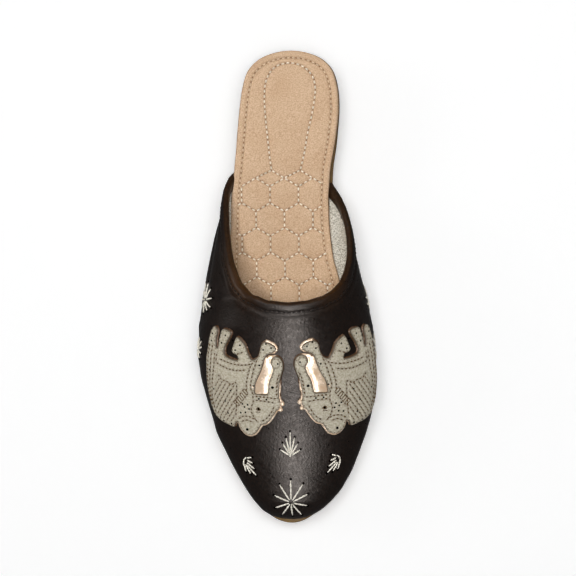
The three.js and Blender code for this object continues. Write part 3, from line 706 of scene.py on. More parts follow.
def build_binding():
    phi = np.linspace(-BINDING_PHI, BINDING_PHI, BINDING_STEPS)
    rings = np.stack([from_topline(phi, down, out)[0] for down, out in BINDING_SECTION], 1)
    rows, count = rings.shape[:2]
    index = numbered(rows, count)
    faces = grid_faces(index, wrap=True, flip=True).tolist() + [index[0].tolist(), index[-1].tolist()]
    brown = (np.arange(count) >= BINDING_OUTSIDE).astype(int)
    marks = np.concatenate([np.tile(brown, rows - 1), [0, 0]])
    materials = [BLACK_LEATHER, BROWN_LEATHER]
    shade = np.repeat(rubbed(phi), count)
    add_piece("binding", rings, faces, materials, marks, ["topline_binding"], shade)
    line, normal = from_topline(phi, *BINDING_SEAM)
    length, place = walk(line)
    count = round(length / BINDING_STITCH)
    at = (np.arange(count)[:, None] + BINDING_STITCH_SPAN) * length / count
    normals = unit(place(at, normal))
    arch = np.sin(np.linspace(0, math.pi, len(BINDING_STITCH_SPAN)))[:, None]
    centres = place(at) + normals * (BINDING_ARCH * arch - BINDING_SINK)
    tubes("binding_stitches", centres, normals, BINDING_THREAD, DARK)


# Plan outlines
LOOP = 1000
LOOP_EASE = 6
RIM_STEPS = 4000
COARSE = 4  # every so many points of a loop are enough for distances


def rim_loop():
    """The sole's rim at even steps from the heel over the medial side and back, with its corners eased."""
    s = LENGTH * (0.5 - 0.5 * np.cos(np.linspace(0, math.pi, RIM_STEPS)))
    halves = []
    for side in (1, -1):
        length, place = walk(np.stack([s, side * rim(side, s)], -1))
        halves.append(place(np.linspace(0, length, LOOP // 2 + 1)))
    loop = np.concatenate([halves[0], halves[1][-2:0:-1]])
    reach = np.arange(-LOOP_EASE * 3, LOOP_EASE * 3 + 1)
    weights = np.exp(-0.5 * (reach / LOOP_EASE) ** 2)
    return sum(w * np.roll(loop, k, 0) for k, w in zip(reach, weights / weights.sum()))


RIM_LOOP = rim_loop()
RIM_SIDE = np.where(np.arange(LOOP) <= LOOP // 2, 1, -1)


def inset_loop(loop, distance):
    step = np.roll(loop, -1, 0) - np.roll(loop, 1, 0)
    share = np.asarray(distance) / np.linalg.norm(step, axis=1)
    return np.stack([loop[:, 0] + step[:, 1] * share, loop[:, 1] - step[:, 0] * share], -1)


def loop_grid(loop, columns):
    """Rows from the heel to the toe between the lateral and the medial side of a loop."""
    half = len(loop) // 2
    medial = loop[:half + 1]
    lateral = np.concatenate([loop[:1], loop[:half - 1:-1]])
    t = np.linspace(0, 1, columns + 1)[None, :, None]
    return lateral[:, None] * (1 - t) + medial[:, None] * t


def loop_body(name, grid, grid_z, rings, material, node, shade, ring_shade):
    """A closed body: a surface over a loop's grid, and rings of points from its edge to a flat cap."""
    points = [placed(grid[..., 1], grid[..., 0], grid_z).reshape(-1, 3)]
    index = numbered(*grid.shape[:2])
    faces = grid_faces(index).tolist()
    edge = np.concatenate([index[:, -1], index[-2:0:-1, 0]])
    first = index.size
    for ring, z in rings:
        points.append(placed(ring[:, 1], ring[:, 0], z))
        here = first + np.arange(len(ring))
        faces += grid_faces(np.stack([edge, here]), wrap=True, flip=True).tolist()
        edge = here
        first += len(ring)
    faces.append(edge.tolist())
    tint = np.concatenate([np.ravel(shade)] + [ring_shade(ring[:, 0]) for ring, _ in rings])
    return add_piece(name, np.concatenate(points), faces, [material], replaces=[node], shade=tint)


# Insole with its quilting
HEEL_OVAL = [  # x, s
    (-10.4, 63.2), (-11.5, 54.6), (-12.6, 44), (-13.4, 36), (-14, 25), (-13, 16), (-8.6, 9.4), (-1.1, 7.1),
    (6.6, 9.2), (11.4, 14.6), (12.7, 21), (11.8, 29), (10.6, 35.5), (8.5, 44.6), (6.8, 54.6), (4.7, 63.2),
]
OVAL_POINTS = 90
HEX_WIDTH = 15.0
HEX_SIDE = HEX_WIDTH / math.sqrt(3)
HEX_CENTRE = (-3.8, 75.9)
HEX_ROWS = 7
ROW_INSET = 3.9
PAST_ROW = 6  # way added to lines outside the row, so that they leave no channel there
STITCH_PITCH = 2.65
QUILT_END = 168  # the vamp hides what lies beyond
INSOLE_COLUMNS = 104
INSOLE_EDGE = 0.15
INSOLE_RINGS = [(2.1, 0.02), (1.2, 0), (0.4, 0), (0, 0.4)]  # height, inset
PUFF, PUFF_SPREAD = 0.32, 2.8
CHANNEL, CHANNEL_WIDTH = 0.5, 0.7
ROLL, ROLL_WIDTH = 0.9, 1.1
INSOLE_WAVE, INSOLE_WAVES, CROSS_WAVE = 0.1, (5.3, 7.1), 4.7  # height, lengths
# The seams' darkness is painted shade in the quilting channels.
SEAM_PAINTED_SHADE, EDGE_SHADE, RING_SHADE = (0.3, 0.6), (0.4, 0.4), 0.5  # darkness, width
STITCH_SINK, STITCH_ARCH, STITCH_STEPS, HOLE_SINK = 0.28, 0.3, 6, 0.3


def hexagon_edges():
    edges = []
    for row in range(HEX_ROWS):
        for column in range(-3, 4):
            s = HEX_CENTRE[1] + 1.5 * HEX_SIDE * row
            x = HEX_CENTRE[0] + HEX_WIDTH * (column + 0.5 * (row % 2))
            angle = np.radians(60 * np.arange(7))
            corners = np.stack([s + HEX_SIDE * np.cos(angle), x + HEX_SIDE * np.sin(angle)], -1)
            for a, b in zip(corners[:-1], corners[1:]):
                if all(np.abs((a + b - other.sum(0)) / 2).max() > 1 for other in edges):
                    edges.append(np.array([a, b]))
    return edges


def quilting_lines():
    """The heel oval, its links to the first row of hexagons, and the hexagons' edges."""
    oval = spline([(s, x) for x, s in HEEL_OVAL], OVAL_POINTS)
    peak = HEX_CENTRE[1] - HEX_SIDE
    links = []
    for end, peaks in ((oval[0], (-1, 0)), (oval[-1], (0, 1))):
        for k in peaks:
            links.append(np.array([end, (peak, HEX_CENTRE[0] + HEX_WIDTH * k)]))
    return [oval, *links, *hexagon_edges()]


def insole_top(flat):
    return sole_top(flat[..., 0]) + GAP + INSOLE_THICKNESS


def sew_insole(name, lines, edge_loop, material, radius, share, lift, hole):
    """Stitches that cover a share of each pitch, and the pinholes between them."""
    starts, ends = joined([dashes(line, STITCH_PITCH, share) for line in lines])
    middle = (starts + ends) / 2
    depth = away_from(middle, closed(edge_loop))
    kept = (depth > ROW_INSET - 0.2) & (middle[:, 0] < QUILT_END) & inside(middle, edge_loop)
    starts, ends = starts[kept], ends[kept]
    flat = between(starts, ends, STITCH_STEPS)
    arch = STITCH_ARCH * np.sin(math.pi * np.linspace(0, 1, STITCH_STEPS))
    centres = placed(flat[..., 1], flat[..., 0], insole_top(flat) + lift - STITCH_SINK + arch)
    tubes(name, centres, np.broadcast_to([0, 0, 1.0], centres.shape), radius, material)
    holes = starts - (ends - starts) * (1 - share) / share / 2
    centres = placed(holes[:, 1], holes[:, 0], insole_top(holes) - HOLE_SINK)
    up = np.broadcast_to([0, 0, 1.0], centres.shape)
    dots(name + "_holes", centres, up, hole, QUILT_HOLE_SHADOW)


def build_insole():
    edge_loop = inset_loop(RIM_LOOP, insole_inset(RIM_SIDE, RIM_LOOP[:, 0]))
    coarse = edge_loop[::COARSE]
    grid = loop_grid(inset_loop(edge_loop, INSOLE_EDGE), INSOLE_COLUMNS)
    s, x = grid[..., 0], grid[..., 1]
    row = closed(inset_loop(edge_loop, ROW_INSET)[::2])
    lines = quilting_lines()
    edge = away_from(grid, closed(coarse))
    seam = away_from(grid, row)
    past_row = PAST_ROW * smoothstep(1, -0.5, edge - ROW_INSET)
    for line in lines:
        seam = np.minimum(seam, away_from(grid, line) + past_row)
    puff = PUFF * (1 - bell(seam, PUFF_SPREAD)) - CHANNEL * bell(seam, CHANNEL_WIDTH)
    roll = ROLL * (1 - np.clip(edge / ROLL_WIDTH, 0, 1)) ** 2
    waves = INSOLE_WAVE * wave(s, x, INSOLE_WAVES) * np.sin(x / CROSS_WAVE)
    z = insole_top(grid) - roll + (puff + waves) * smoothstep(0.6, 2.6, edge)
    # Painted shade along the quilting channels, and a darker band at the pad's edge.
    shade = SEAM_PAINTED_SHADE[0] * bell(seam, SEAM_PAINTED_SHADE[1]) + EDGE_SHADE[0] * bell(edge, EDGE_SHADE[1])
    rings = []
    undercut = insole_undercut(RIM_SIDE, RIM_LOOP[:, 0])
    for height, inset in INSOLE_RINGS:
        ring = inset_loop(edge_loop, inset + undercut * (1 - height / INSOLE_THICKNESS))
        rings.append((ring, sole_top(ring[:, 0]) + GAP + height))
    pad = loop_body("insole_pad", grid, z, rings, INSOLE, "insole", shade,
                    lambda at: np.full(len(at), RING_SHADE))
    sew_insole("insole_row", [row], coarse, TAN, 0.34, 0.52, -0.02, 0.38)
    sew_insole("insole_quilting", lines, coarse, CREAM, 0.38, 0.58, 0.05, 0.36)


# Outsole with its tread: leaves of slanting ribs on a triangular lattice, and an ornament on the shank
PANEL_BORDER, SHANK_BORDER, HEEL_BORDER = 5.0, 5.2, 2.6
PANEL_DEPTH = 0.9
TREAD_PANELS = [  # lateral and medial station of the near end, of the far end, border
    (139.5, 139.5, 176.5, 163, PANEL_BORDER), (179.5, 166, 206, 226, PANEL_BORDER),
    (209, 229, 242, 243, PANEL_BORDER), (61, 61, 134, 134, SHANK_BORDER),
]
LEAF_PITCH = 26.1
LEAF_COLUMN = LEAF_PITCH * math.sqrt(3) / 2
LEAF_HEART = (-11, 151)
LEAF_RIM, LEAF_VEIN, LEAF_TIP = (0.97, 0.87), (0.15, 0.5), (0.6, 2.6)
RIB_PITCH, RIB_HEIGHT, RIB_FLANK = 2.9, 0.75, (0.34, 0.66)
RIB_SLANT = math.radians(40)
SHANK_RING, SHANK_RADII, SHANK_LINE = 96.0, (5.2, 3.5), 0.5
SHANK_RIBS = [  # from and to station, side the ribs open to, pitch, half width
    (121.6, 132.8, 1, 2.4, 5.2), (102, 121, -1, 4.7, 3.7), (71, 90, 1, 4.7, 3.7), (62, 70.4, -1, 2.4, 5.2),
]
PETALS = 6
FORE_LINES, FORE_LINE = (1.9, 3.2), (0.4, 0.35)  # ways in from the edge, depth and width
SHANK_LINES, SHANK_CUT = (1.8, 3.1), (0.45, 0.4)
HEEL_GROOVES = [13, 18.4, 23.7, 28.4, 33, 38, 43, 48, 52.7]
HEEL_GROOVE, HEEL_FLANK = 0.9, (0.8, 0.4)
HEEL_BREAST, BREAST_DEPTH, BREAST_FLANK = 58.5, 1.1, (1.0, 0.5)
SOLE_COLUMNS = 118
WALL_SHARES = np.concatenate([np.linspace(0.05, 0.3, 18), np.linspace(0.37, 1, 10)])
LIFT_GROOVE, LIFT_SHARE, LIFT_WIDTH, LIFT_FADE = 0.6, 0.18, 0.016, (55, 100)


def tread_half(side, s, border):
    return rim(side, s) - sole_taper(s) - border


def leaf_ribs(s, x):
    """Height of the slanting ribs, from 0 to 1."""
    half, short = LEAF_PITCH / 2, LEAF_PITCH / (2 * math.sqrt(3))
    best = np.full(s.shape, 9.0)
    height = np.zeros(s.shape)
    across, along = x - LEAF_HEART[0], s - LEAF_HEART[1]
    for turn in (0, 60, -60):
        dx, ds = math.sin(math.radians(turn)), math.cos(math.radians(turn))
        px, ps = across - dx * half, along - ds * half
        column = px / LEAF_COLUMN
        for i in (np.floor(column), np.floor(column) + 1):
            line = ps / LEAF_PITCH - i / 2
            for j in (np.floor(line), np.floor(line) + 1):
                mx, ms = px - i * LEAF_COLUMN, ps - (j + i / 2) * LEAF_PITCH
                u, v = mx * dx + ms * ds, np.abs(mx * ds - ms * dx)
                value = np.abs(u) / half + v / short
                ripple = 0.5 + 0.5 * np.cos(2 * math.pi * (u - v / math.tan(RIB_SLANT)) / RIB_PITCH)
                tip = smoothstep(half - LEAF_TIP[0], half - LEAF_TIP[1], np.abs(u))
                rib = smoothstep(*RIB_FLANK, ripple) * smoothstep(*LEAF_RIM, value)
                rib = rib * smoothstep(*LEAF_VEIN, v) * tip
                height = np.where(value < best, rib, height)
                best = np.minimum(value, best)
    return height


def shank_ornament(s, x):
    """A column of leaves, chevrons and a plain ring with a rosette."""
    away = np.abs(x)
    ribs = np.zeros(s.shape)
    for low, high, slope, pitch, half in SHANK_RIBS:
        ripple = 0.5 + 0.5 * np.cos(2 * math.pi * (s - low - slope * away) / pitch)
        mask = smoothstep(low, low + 0.6, s) * smoothstep(high, high - 0.6, s)
        mask = mask * smoothstep(half, half - 0.5, away) * smoothstep(0.1, 0.45, away)
        ribs = np.maximum(ribs, smoothstep(0.4, 0.7, ripple) * mask)
    radius = np.hypot(s - SHANK_RING, x)
    for ring in SHANK_RADII:
        ribs = np.maximum(ribs, bell(radius - ring, SHANK_LINE))
    petals = 0.5 + 0.5 * np.cos(PETALS * np.arctan2(x, s - SHANK_RING))
    rosette = smoothstep(0.4, 0.8, petals) * smoothstep(2.6, 2.2, radius) * smoothstep(0.3, 0.7, radius)
    return np.maximum(ribs, rosette)


def tread(s, x, edge):
    """Depth of the sole's underside over its plain form."""
    depth = np.zeros(s.shape)
    side = side_of(x)
    for near_l, near_m, far_l, far_m, border in TREAD_PANELS:
        half_l, half_m = tread_half(-1, s, border), tread_half(1, s, border)
        t = np.clip((x + half_l) / np.maximum(half_l + half_m, 1), 0, 1)
        near_way, far_way = s - near_l - (near_m - near_l) * t, far_l + (far_m - far_l) * t - s
        rim_way = tread_half(side, s, border) - np.abs(x)
        way = np.minimum(np.minimum(near_way, far_way), rim_way)
        floor = PANEL_DEPTH * smoothstep(0, 0.5, way)
        raised = shank_ornament(s, x) if border == SHANK_BORDER else leaf_ribs(s, x)
        depth = np.maximum(depth, floor - RIB_HEIGHT * raised * smoothstep(0.7, 1.5, way))
    fore = smoothstep(136, 141, s)
    shank = smoothstep(60, 61, s) * smoothstep(136, 134, s)
    for stretch, ways, (deep, width) in ((fore, FORE_LINES, FORE_LINE), (shank, SHANK_LINES, SHANK_CUT)):
        for way in ways:
            depth += deep * stretch * bell(edge - way, width)
    across = smoothstep(0, 0.6, tread_half(side, s, HEEL_BORDER) - np.abs(x))
    for groove in HEEL_GROOVES:
        depth += HEEL_GROOVE * across * smoothstep(*HEEL_FLANK, np.abs(s - groove))
    return depth + BREAST_DEPTH * smoothstep(*BREAST_FLANK, np.abs(s - HEEL_BREAST))


# Painted shade: the heel's underside and walls are painted darker towards the back.
def heel_painted_shade(s):
    return 0.4 * smoothstep(90, 50, s)


def build_sole():
    s_loop = RIM_LOOP[:, 0]
    ground = inset_loop(RIM_LOOP, sole_taper(s_loop) + SOLE_EDGE)
    grid = loop_grid(ground, SOLE_COLUMNS)
    s, x = grid[..., 0], grid[..., 1]
    edge = away_from(grid, closed(ground[::COARSE]))
    depth = tread(s, x, edge) * smoothstep(0, 0.4, edge)
    high = sole_top(s_loop) - LIP_HEIGHT - sole_bottom(s_loop)
    groove = LIFT_GROOVE * (1 - smoothstep(*LIFT_FADE, s_loop))
    rings = []
    for share in WALL_SHARES:
        inset = sole_taper(s_loop) * wall_inset(share) + groove * bell(share - LIFT_SHARE, LIFT_WIDTH)
        rings.append((inset_loop(RIM_LOOP, inset), sole_bottom(s_loop) + share * high))
    for inset, down in SOLE_LIP:
        rings.append((inset_loop(RIM_LOOP, inset), sole_top(s_loop) - down))
    # Painted shade: the tread's floors and grooves are darker the deeper they lie, and the heel darker still.
    shade = np.maximum(0.6 * smoothstep(0.3, 0.9, depth), heel_painted_shade(s))
    z = sole_bottom(s) + depth
    loop_body("sole", grid, z, rings, SOLE, "outsole", shade, heel_painted_shade)


# Animal figures: places are distances from the ridge and stations, as cut from flat leather
FIGURE_OUTLINE = {
    "dome": [(29.5, 192.8), (28.4, 196.7), (25.6, 199.6), (22.5, 200.7), (19, 199.5), (16.8, 196.2),
             (15.4, 194.6)],
    "forehead": [(13.2, 194.4), (10.7, 192.4), (8.6, 189.5), (6.8, 186.8)],
    "brow": [(4.6, 186.6), (5.4, 185.2), (3.6, 183.4), (5.4, 181.8)],
    "trunk": [(5.3, 175.8)],
    "trunk_tip": [(4.9, 172), (3.5, 167.5), (2.6, 164.5), (3, 161.2), (4.6, 159.3), (7, 158.6)],
    "curl": [(9.3, 160), (9.9, 162.6), (8.4, 165)],
    "cheek": [(9.2, 168.4), (11, 172), (11.7, 177.2), (11.9, 178.4), (13.2, 178.5), (17.8, 178.3),
              (19, 178.2), (19, 177), (18.7, 172.8), (15.2, 166.7)],
    "fore_leg": [(12.8, 159.2), (11, 157.8)],
    "fore_toe": [(8.6, 157.2), (6.2, 155.6), (7.4, 153.3), (10.5, 151.8)],
    "fore_foot": [(13, 151.2), (15, 152.4), (16, 156.8), (17.1, 159.5), (19.6, 160.7), (21, 160.4)],
    "raised_leg": [(22.7, 157), (24.2, 152.7), (28.5, 148.7), (30, 149.3), (32, 154), (32.8, 156.3),
                   (31.4, 157.8)],
    "belly": [(28.9, 158.6), (28.6, 161.2), (33, 160.3), (36.8, 158.8)],
    "inner_hind": [(37.6, 156.8), (36.8, 153.8), (33.8, 149.5), (32.4, 147), (34, 145.6), (38, 144.7)],
    "hind_gap": [(39.4, 145.8), (40.8, 150), (41.6, 154.4), (42.8, 154.8), (43.2, 150.5)],
    "outer_hind": [(41.8, 146.2), (42.8, 144), (45, 143.6), (47.2, 146), (48.6, 150), (49.4, 155)],
    "rump": [(50.6, 160), (50.8, 168), (50.4, 175.6), (48.6, 183.2), (45.4, 189.8)],
    "cloth": [(40.8, 193.2), (36.3, 194.9), (32.8, 196.2), (31.6, 196.1), (31.4, 194.6)],
}
CORNER_CUT = 0.22
WINDOW_SIDES = ["curl", "cheek"]
BROAD_SIDES = ["dome", "forehead", "brow", "trunk", "fore_toe"]
BROAD_RIM, NARROW_RIM = 1.05, 0.45
FIGURE_LEAN = {"lateral": 0.0, "medial": 1.9}  # way that the head stands off the ridge
LEAN_STATIONS, LEAN_REACH = (164, 186), 30
FIGURE_SHIFT = {"lateral": 0.9, "medial": 0.0}  # way towards the toe
FIGURE_REACH = {"lateral": 0.915, "medial": 1.0}  # share of the figure's width that is used
WINDOW_TRUNK = [(7, 158.6), (9.3, 160), (9.9, 162.6), (8.4, 165), (9.2, 168.4), (11, 172), (11.9, 178.8)]
TRUNK_PLACE = 3.0
FIGURE_LAYER, FIGURE_BASE, FIGURE_ROUND = (1.1, 1.85), 0.85, 0.6
FIGURE_CROWN, CROWN_SPREAD = 0.45, 4
BACKING_LAYER, BACKING_BASE, BACKING_ROUND = (0.1, 0.8), 0.02, 0.5
FIGURE_CELL = 0.34
FIGURE_STITCH, EDGE_STITCH = 2.1, 2.1
SADDLE = [(31.2, 194.2), (29.9, 185), (29.7, 172.6), (35.6, 171.8), (41.4, 168.2), (43.6, 171.6), (45, 179.4),
          (43.8, 188.8), (38, 193.2)]
PLEAT_PITCH = 2.35
PLEAT_TURN = math.radians(37)
FIGURE_LINES = {
    "saddle_edge": [(30.6, 190), (29.9, 183.4), (29.7, 172.6), (32.6, 173.4), (35.6, 171.8), (38.4, 171),
                    (41.4, 168.2)],
    "belly_low": [(42.5, 162.2), (35.4, 165), (28.9, 166.1), (24.1, 165.6)],
    "belly_high": [(40, 160.4), (33, 162.5), (28.1, 163.2), (23.4, 163.1), (20.7, 162.6)],
    "girdle": [(21.2, 185), (20, 182.1), (20.5, 177.6), (21.4, 173.8), (19.4, 165.9), (17.3, 160.3)],
    "girdle_back": [(23.8, 177), (23.6, 172), (21.6, 165), (19.6, 161.6)],
    "brow_low": [(19.1, 181.4), (13, 182), (7.9, 182.9)],
    "brow_high": [(19.1, 179.5), (13, 180), (6.6, 180.6)],
    "face": [(8.2, 184.6), (10.4, 188.6), (13, 191.3), (15.4, 192.5)],
    "neck": [(21.4, 185.2), (20.6, 189), (18.6, 192.2)],
    "dome_band": [(29.2, 191.6), (25.6, 190), (21.2, 190.6), (17.6, 192.9)],
    "dome_inner": [(27.4, 193), (24, 192), (20.6, 193)],
    "rump_one": [(43.4, 157), (44.2, 164), (45.6, 171.6), (46.2, 179.4), (44, 188.6)],
    "rump_two": [(45.2, 153), (46.4, 161), (47.4, 169.8), (47.6, 178.4), (46, 185)],
    "rump_three": [(47.4, 152.4), (48.6, 160), (49.2, 168.8), (49, 176.6), (47.6, 183)],
    "trunk_line": [(6.8, 179.4), (6.6, 174.8), (6.2, 171), (5, 167.6)],
    "ladder_low": [(31.2, 182.4), (25, 175.4)],
    "ladder_high": [(29, 185), (22.8, 177.8)],
    "hind_line": [(41.8, 157.4), (42.6, 161.6)],
    "leg_line": [(25, 156.6), (29.6, 158)],
}
LINE_POINTS = 40
LADDER_RUNGS = 8
FIGURE_HOLES = [
    (5.7, 162.2), (9.2, 154.2), (12, 152.2), (13.6, 155.2), (27, 153), (30, 155.6), (36, 148),
    (38.6, 152), (45.2, 147.2), (46, 151), (33.4, 194.2), (38, 192.6), (27.4, 188), (24.6, 187.8),
    (35, 188.2), (16, 163.2), (31.4, 150.6), (14.6, 192.2), (40.4, 191), (23.2, 183.8), (25, 185),
    (26.2, 183.4), (22.4, 186), (19.6, 174), (47.4, 166), (46.6, 182), (44.6, 176), (33.2, 176.4),
    (36.6, 182), (12.4, 181), (16.6, 180.6),
]
MAIN_HOLES = [(23.8, 197), (16.9, 185.9), (8.9, 174.6)]
PINHOLE, MAIN_HOLE, HOLE_LIFT, HOLE_SIDES = 0.52, 0.78, 0.1, 10
EYE = MAIN_HOLES[1]
EYE_MARKS = [  # from and to, around the eye
    (-1.3, 0.5, 0, -0.9), (0, -0.9, 1.4, -0.2), (1.4, -0.2, 0.6, 0.9), (0.6, 0.9, -1.3, 0.5),
    (0.2, 1.5, 1.8, 1.6), (-0.9, 1.4, 0, 1.8),
]
FIGURE_KNOBS = [(4.7, 186.5, 1.2), (3.7, 183.4, 1.4), (20.2, 174.6, 0.95), (20, 171.2, 0.7)]  # place, radius
KNOB_LIFT, KNOB_SCALE = 1.3, 0.95
KNOB_ROWS, KNOB_SIDES = 10, 16
CURL, CURL_RADIUS = (6.9, 162.2), 2.3


def figure_outline(left_out=()):
    """The outline's points with its corners cut, less some of its sides."""
    points = [p for name, stretch in FIGURE_OUTLINE.items() if name not in left_out for p in stretch]
    points = np.array(points, float)
    after = np.roll(points, -1, 0)
    near, far = 1 - CORNER_CUT, CORNER_CUT
    return np.stack([near * points + far * after, far * points + near * after], 1).reshape(-1, 2)


def figure_margin():
    """Way the backing stands out along its outline: broad at the head, narrow elsewhere."""
    margin = []
    for name, stretch in FIGURE_OUTLINE.items():
        if name not in WINDOW_SIDES:
            margin += [BROAD_RIM if name in BROAD_SIDES else NARROW_RIM] * 2 * len(stretch)
    return np.array(margin)


def grown(outline, margin):
    step = np.roll(outline, -1, 0) - np.roll(outline, 1, 0)
    after = np.roll(outline, -1, 0)
    turn = np.sign((outline[:, 0] * after[:, 1] - outline[:, 1] * after[:, 0]).sum())
    return outline + unit(np.stack([step[:, 1], -step[:, 0]], -1)) * np.reshape(margin, (-1, 1)) * turn


FIGURE_LOOP = figure_outline()
BACKING_LOOP = grown(figure_outline(WINDOW_SIDES), figure_margin())
SADDLE_LOOP = np.array(SADDLE, float)
SEAMS = [spline(points, LINE_POINTS) for points in FIGURE_LINES.values()]
ACROSS_PLEATS = np.array([math.cos(PLEAT_TURN), -math.sin(PLEAT_TURN)])
ALONG_PLEATS = np.array([math.sin(PLEAT_TURN), math.cos(PLEAT_TURN)])


def flat_sheet(outline):
    """Points and faces of a fine sheet cut to an outline."""
    cell = FIGURE_CELL
    low = outline.min(0) - 2 * cell
    count = np.ceil((outline.max(0) + 2 * cell - low) / cell).astype(int) + 1
    grid = low + cell * np.stack(np.meshgrid(*map(np.arange, count), indexing="ij"), -1)
    distance, foot = nearest(grid, closed(outline))
    snapped = distance < 0.6 * cell
    kept = inside(grid, outline) | snapped
    points = np.where(snapped[..., None], foot, grid)
    index = np.full(kept.shape, -1)
    index[kept] = np.arange(kept.sum())
    faces = [[i for i in quad if i >= 0] for quad in grid_faces(index).tolist()]
    faces = [face for face in faces if len(face) >= 3]
    flat = points[kept]
    centre = np.array([flat[face].mean(0) for face in faces])
    return flat, [face for face, good in zip(faces, inside(centre, outline)) if good]


def thick_sheet(top, base, faces):
    """Closes two like sheets, top and base, along their open edges."""
    count = len(top)
    edges = {}
    for face in faces:
        for a, b in zip(face, face[1:] + face[:1]):
            if not edges.pop((b, a), None):
                edges[a, b] = True
    sides = [[b, a, a + count, b + count] for a, b in edges]
    under = [[i + count for i in reversed(face)] for face in faces]
    return np.concatenate([top, base]), faces + under + sides


def round_edge(way, width):
    return np.sqrt(np.clip(1 - (1 - np.clip(way / width, 0, 1)) ** 2, 0, 1))


def pleat_lines():
    """Lines of the pleats' seams, cut to the saddle cloth."""
    across, along = SADDLE_LOOP @ ACROSS_PLEATS, SADDLE_LOOP @ ALONG_PLEATS
    run = np.arange(along.min(), along.max(), 0.2)[:, None] * ALONG_PLEATS
    lines = []
    for k in range(math.ceil(across.min() / PLEAT_PITCH), math.ceil(across.max() / PLEAT_PITCH)):
        line = k * PLEAT_PITCH * ACROSS_PLEATS + run
        line = line[inside(line, SADDLE_LOOP) & (away_from(line, closed(SADDLE_LOOP)) > 0.8)]
        if len(line) > 8:
            lines.append(line)
    return lines


def figure_top(flat):
    """Height over the leather and darkness of the figure's face: dark cut edges, with painted shade in the
    pleats and seam grooves.
    """
    edge = away_from(flat, closed(FIGURE_LOOP))
    low, high = FIGURE_LAYER
    height = low + (high - low) * round_edge(edge, FIGURE_ROUND)
    height = height + FIGURE_CROWN * (1 - np.exp(-edge / CROWN_SPREAD))
    dark = 0.95 * bell(edge, 0.55)
    cloth = np.where(inside(flat, SADDLE_LOOP), away_from(flat, closed(SADDLE_LOOP)), 0)
    phase = (flat @ ACROSS_PLEATS / PLEAT_PITCH) % 1
    pleat = np.sin(math.pi * phase) ** 0.7
    mask = smoothstep(0, 0.8, cloth)
    height = height + mask * (0.12 + 0.38 * pleat)
    # Painted shade in the valleys between the pleats.
    dark = np.maximum(dark, 0.38 * mask * bell(np.minimum(phase, 1 - phase) * PLEAT_PITCH, 0.5))
    for line in SEAMS:
        way = away_from(flat, line)
        height = height - 0.2 * bell(way, 0.4)
        # Painted shade along the seam grooves.
        dark = np.maximum(dark, 0.3 * bell(way, 0.6))
    way = np.hypot(flat[..., 0] - CURL[0], flat[..., 1] - CURL[1])
    height = height + 0.5 * round_edge(CURL_RADIUS - way, 0.8) - 0.15 * bell(way - 1.2, 0.3)
    return height, np.maximum(dark, 0.6 * bell(way - CURL_RADIUS, 0.3))


def backing_top(flat):
    """Height over the leather and darkness of the backing, with painted shade away from the head and in the
    window away from the trunk.
    """
    edge = away_from(flat, closed(BACKING_LOOP))
    low, high = BACKING_LAYER
    height = low + (high - low) * round_edge(edge, BACKING_ROUND)
    window = np.where(inside(flat, FIGURE_LOOP), 0, 1) * smoothstep(0.5, 1.2, edge)
    from_trunk = away_from(flat, spline(WINDOW_TRUNK, 30))
    height = height + window * (0.75 * (1 - np.exp(-from_trunk / 1.7)) - 0.25)
    from_lit_sides = np.full(edge.shape, 9.0)
    for name in BROAD_SIDES + WINDOW_SIDES:
        from_lit_sides = np.minimum(from_lit_sides, away_from(flat, np.array(FIGURE_OUTLINE[name] * 2, float)))
    # A dark line at the cut edge; the narrow rims away from the head and the window are painted shade, darker
    # than the head's rim.
    dark = np.maximum(0.8 * bell(edge, 0.16), 0.92 * smoothstep(1.4, 2.6, from_lit_sides) * (1 - window))
    # Painted shade in the window, darker away from the trunk, whose side is left to catch the glint.
    return height, np.maximum(dark, 0.2 * window * smoothstep(1.5, 3.5, from_trunk))


